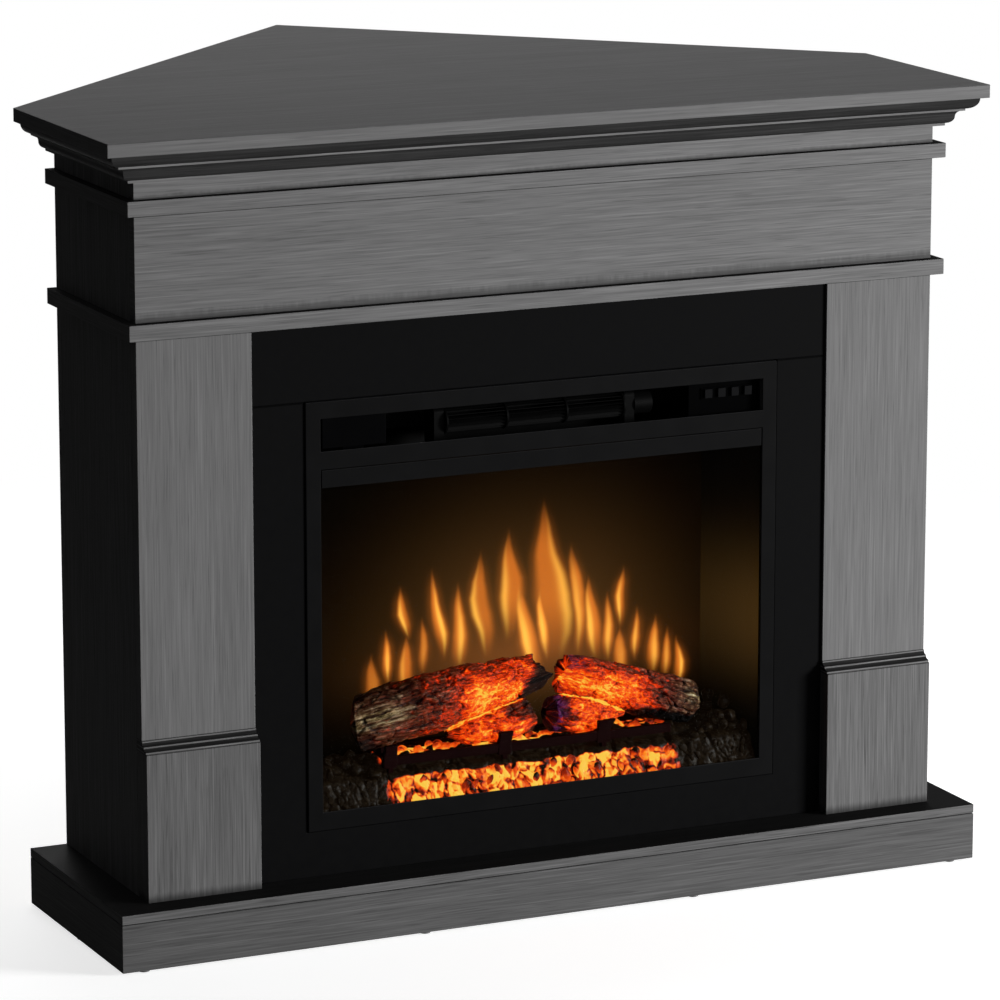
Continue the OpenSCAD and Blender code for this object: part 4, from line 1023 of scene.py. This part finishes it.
def make_bed(material):
    def towards(away, way):
        return away[:, 0] * np.cos(way) + away[:, 1] * np.sin(way)

    lengths = np.concatenate([[0], np.cumsum(np.linalg.norm(np.diff(BED, axis=0), axis=1))])
    along = np.linspace(0, lengths[-1], BED_ROWS)
    y0, z0 = (np.interp(along, lengths, BED[:, i]) for i in (0, 1))
    ty, tz = np.gradient(y0), np.gradient(z0)
    size = np.hypot(ty, tz)
    ny, nz = -tz / size, ty / size
    half = wall_at(y0) - 1.2
    rows, across = pairs(np.arange(BED_ROWS), np.linspace(-1, 1, BED_COLUMNS))
    x, length = across * half[rows], along[rows]
    none = np.zeros(len(x))
    flat = np.column_stack([x, length, none])
    bend = np.column_stack([noise(flat / 9, 31 + i) for i in range(3)])
    lean = noise(np.column_stack([x / 34, none, none]), 70) * (length - 20) * 1.1
    slanted = flat + np.column_stack([lean, none, none])
    near, second, tone, away = cells(slanted / (13, 24, 40) + 0.2 * bend, 40)
    near_b, second_b, tone_b, away_b = cells(slanted / (8.5, 15, 40) + 0.16 * bend, 44)
    dome = np.sqrt(np.clip(1 - (near / 0.85) ** 2, 0, 1))
    rise = (4.4 * dome + 1.3 * ease(second_b - near_b, 0, 0.3) * (tone_b > 0.45)
            + 0.5 * layered(flat / 6, 3, 50))
    rise = np.clip(rise, -1, 6) - 1.5
    y, z = np.maximum(y0[rows] + ny[rows] * rise, BED_FRONT), z0[rows] + nz[rows] * rise
    # painted shadow of the front bar: the glow stops under and behind it
    bar_shadow = ease(z + 2.6 * noise(flat / 10, 61), 162.5, 166.5) * ease(y, -325, -329)
    lit = glow_at(x + 9 * noise(flat / 22, 52)) * (1 - bar_shadow)
    # each lump glows in its middle and has a crescent of crust on the side that its own number picks
    crescent = ease(towards(away, 2.1 + 4.6 * (tone - 0.5)), 0.06, 0.26)
    chip = ease(towards(away_b, 1.6 + 6 * (tone_b - 0.5)), 0.02, 0.2) * (tone_b > 0.6)
    dimmed = 1 - 0.22 * ease(x, 110, 165) - 0.15 * ease(x, -150, -185)    # towards both ends
    glow = lit * (0.47 + 0.5 * tone + 0.22 * dome) * dimmed
    foot_lumps = (ease(z0[rows], 151, 143) * ease(noise(flat / 13, 71), 0.02, 0.22)
                  * (0.28 + 0.34 * ease(x, -60, -140) + 0.2 * ease(x, 20, 60)))
    crust = (foot_lumps + 0.46 * crescent * ease(noise(flat / 15, 57), -0.25, 0.25) + 0.38 * chip
             + 0.5 * ease(second - near, 0.13, 0) * ease(noise(flat / 10, 56), -0.4, 0.1)
             + 0.26 * ease(noise(flat / 5, 58), 0.15, 0.6)) + (1 - lit)
    new_piece("ember_bed_moulded", np.column_stack([x, y, z]), grid_faces(BED_ROWS, BED_COLUMNS)[:, ::-1],
              material, {"glow": glow, "crust": np.clip(crust, 0, 1)}, "ember_bed")


def make_coals(material):
    """Loose-looking coals, moulded on top of the bed."""
    ball = bmesh.new()
    bmesh.ops.create_icosphere(ball, subdivisions=3, radius=1)
    sphere = np.array([v.co[:] for v in ball.verts])
    triangles = np.array([[v.index for v in f.verts] for f in ball.faces])
    ball.free()
    parts = []

    def rock(centre, size, seed, hot, crusted, tilt=0):
        """seed counts on from the number of rocks so far."""
        seed += len(parts)
        pick = np.random.default_rng(seed)
        shape = sphere * (1 + 0.1 * noise(sphere * 1.6 + seed, 60)[:, None])
        for _ in range(11):   # chip flats off it
            way = pick.normal(size=3)
            way /= np.linalg.norm(way)
            over = np.maximum(shape @ way - pick.uniform(0.62, 0.86), 0)
            shape = shape - over[:, None] * way
        shape = shape * (1 + 0.035 * noise(sphere * 6 + seed, 62)[:, None])
        turn = np.linalg.qr(pick.normal(size=(3, 3)))[0]
        shape = (shape @ turn) * np.array(size)
        height = shape[:, 2] / size[2]
        c, s = math.cos(tilt), math.sin(tilt)
        shape = shape @ np.array([[c, 0, -s], [0, 1, 0], [s, 0, c]])
        patch = noise(shape / 4.5 + seed, 64)
        crust = crusted * (ease(height, -0.1, 0.9) * 0.38 + ease(patch, -0.1, 0.6) * 0.4)
        parts.append((shape + centre, hot * (0.86 - 0.26 * height + 0.16 * patch),
                      np.clip(crust + (0 if hot else 1), 0, 1)))

    pick = np.random.default_rng(5)
    for x in np.arange(-262, 262, 9.5):      # on the front slope, in two rows
        for row in (0, 1):
            at_x = x + pick.uniform(-3, 3) + 4 * row
            z = 146 + 12 * row + pick.uniform(-2.5, 2.5)
            y = np.interp(z, BED[1:3, 1], BED[1:3, 0])
            dark = glow_at(at_x) < 0.5
            size = (pick.uniform(3.4, 6.2), 3.2, pick.uniform(6, 10.5))
            if abs(at_x) > 260 or pick.random() < (0.15 if dark else 0.68):
                continue
            hot = 0 if dark else pick.choice([0.45, 0.6, 0.8, 1], p=[0.3, 0.25, 0.25, 0.2])
            y = max(y - 1, -352 + size[1])
            rock((at_x, y, z), size, 100, hot, pick.uniform(0.3, 1), pick.uniform(-0.65, 0.65))
    for _ in range(150):                     # on the level part, behind the front bar
        x, y = pick.uniform(-232, 232), pick.uniform(-328, -282)
        size = (pick.uniform(5, 10), pick.uniform(4.5, 8), pick.uniform(4, 8))
        if min(abs(x - c) for c in (-181, -42, 80)) < 8 or abs(x - 198) < 22:
            continue
        bed = np.interp(y, BED[4:, 0], BED[4:, 1])
        hot = glow_at(x) * pick.choice([0, 0.6, 0.85, 1], p=[0.22, 0.22, 0.3, 0.26])
        # no glow on coals under the front bar, as its painted shadow
        if y < -319 or not -180 < x < 172:   # under the front bar, and past its ends
            hot = 0
        rock((x, y, bed + size[2] * 0.35), size, 400, hot, pick.uniform(0.2, 0.9))
    for side, inner, count, tall in ((-1, 200, 26, 12), (1, 190, 54, 34)):   # dark coals in the corners
        for _ in range(count):
            y = pick.uniform(-344, -284)
            wall = wall_at(y) - 9
            x = pick.uniform(inner, wall)
            size = (pick.uniform(5, 9), pick.uniform(4.5, 8), pick.uniform(4.5, 8))
            pile = tall * ease(x, inner, wall) * pick.random()
            rock((side * x, y, 168 + size[2] * 0.5 + pile), size, 700, 0, 1)
    points, glow, crust = (np.concatenate(layer) for layer in zip(*parts))
    faces = np.concatenate([triangles + i * len(sphere) for i in range(len(parts))])
    new_piece("ember_coals", points, faces, material, {"glow": glow, "crust": crust})


make_camera()
make_stage()
finish_cad_nodes()
grate_stops()
frame_seal()
make_screen()
make_logs()
embers = ember_material()
make_bed(embers)
make_coals(embers)
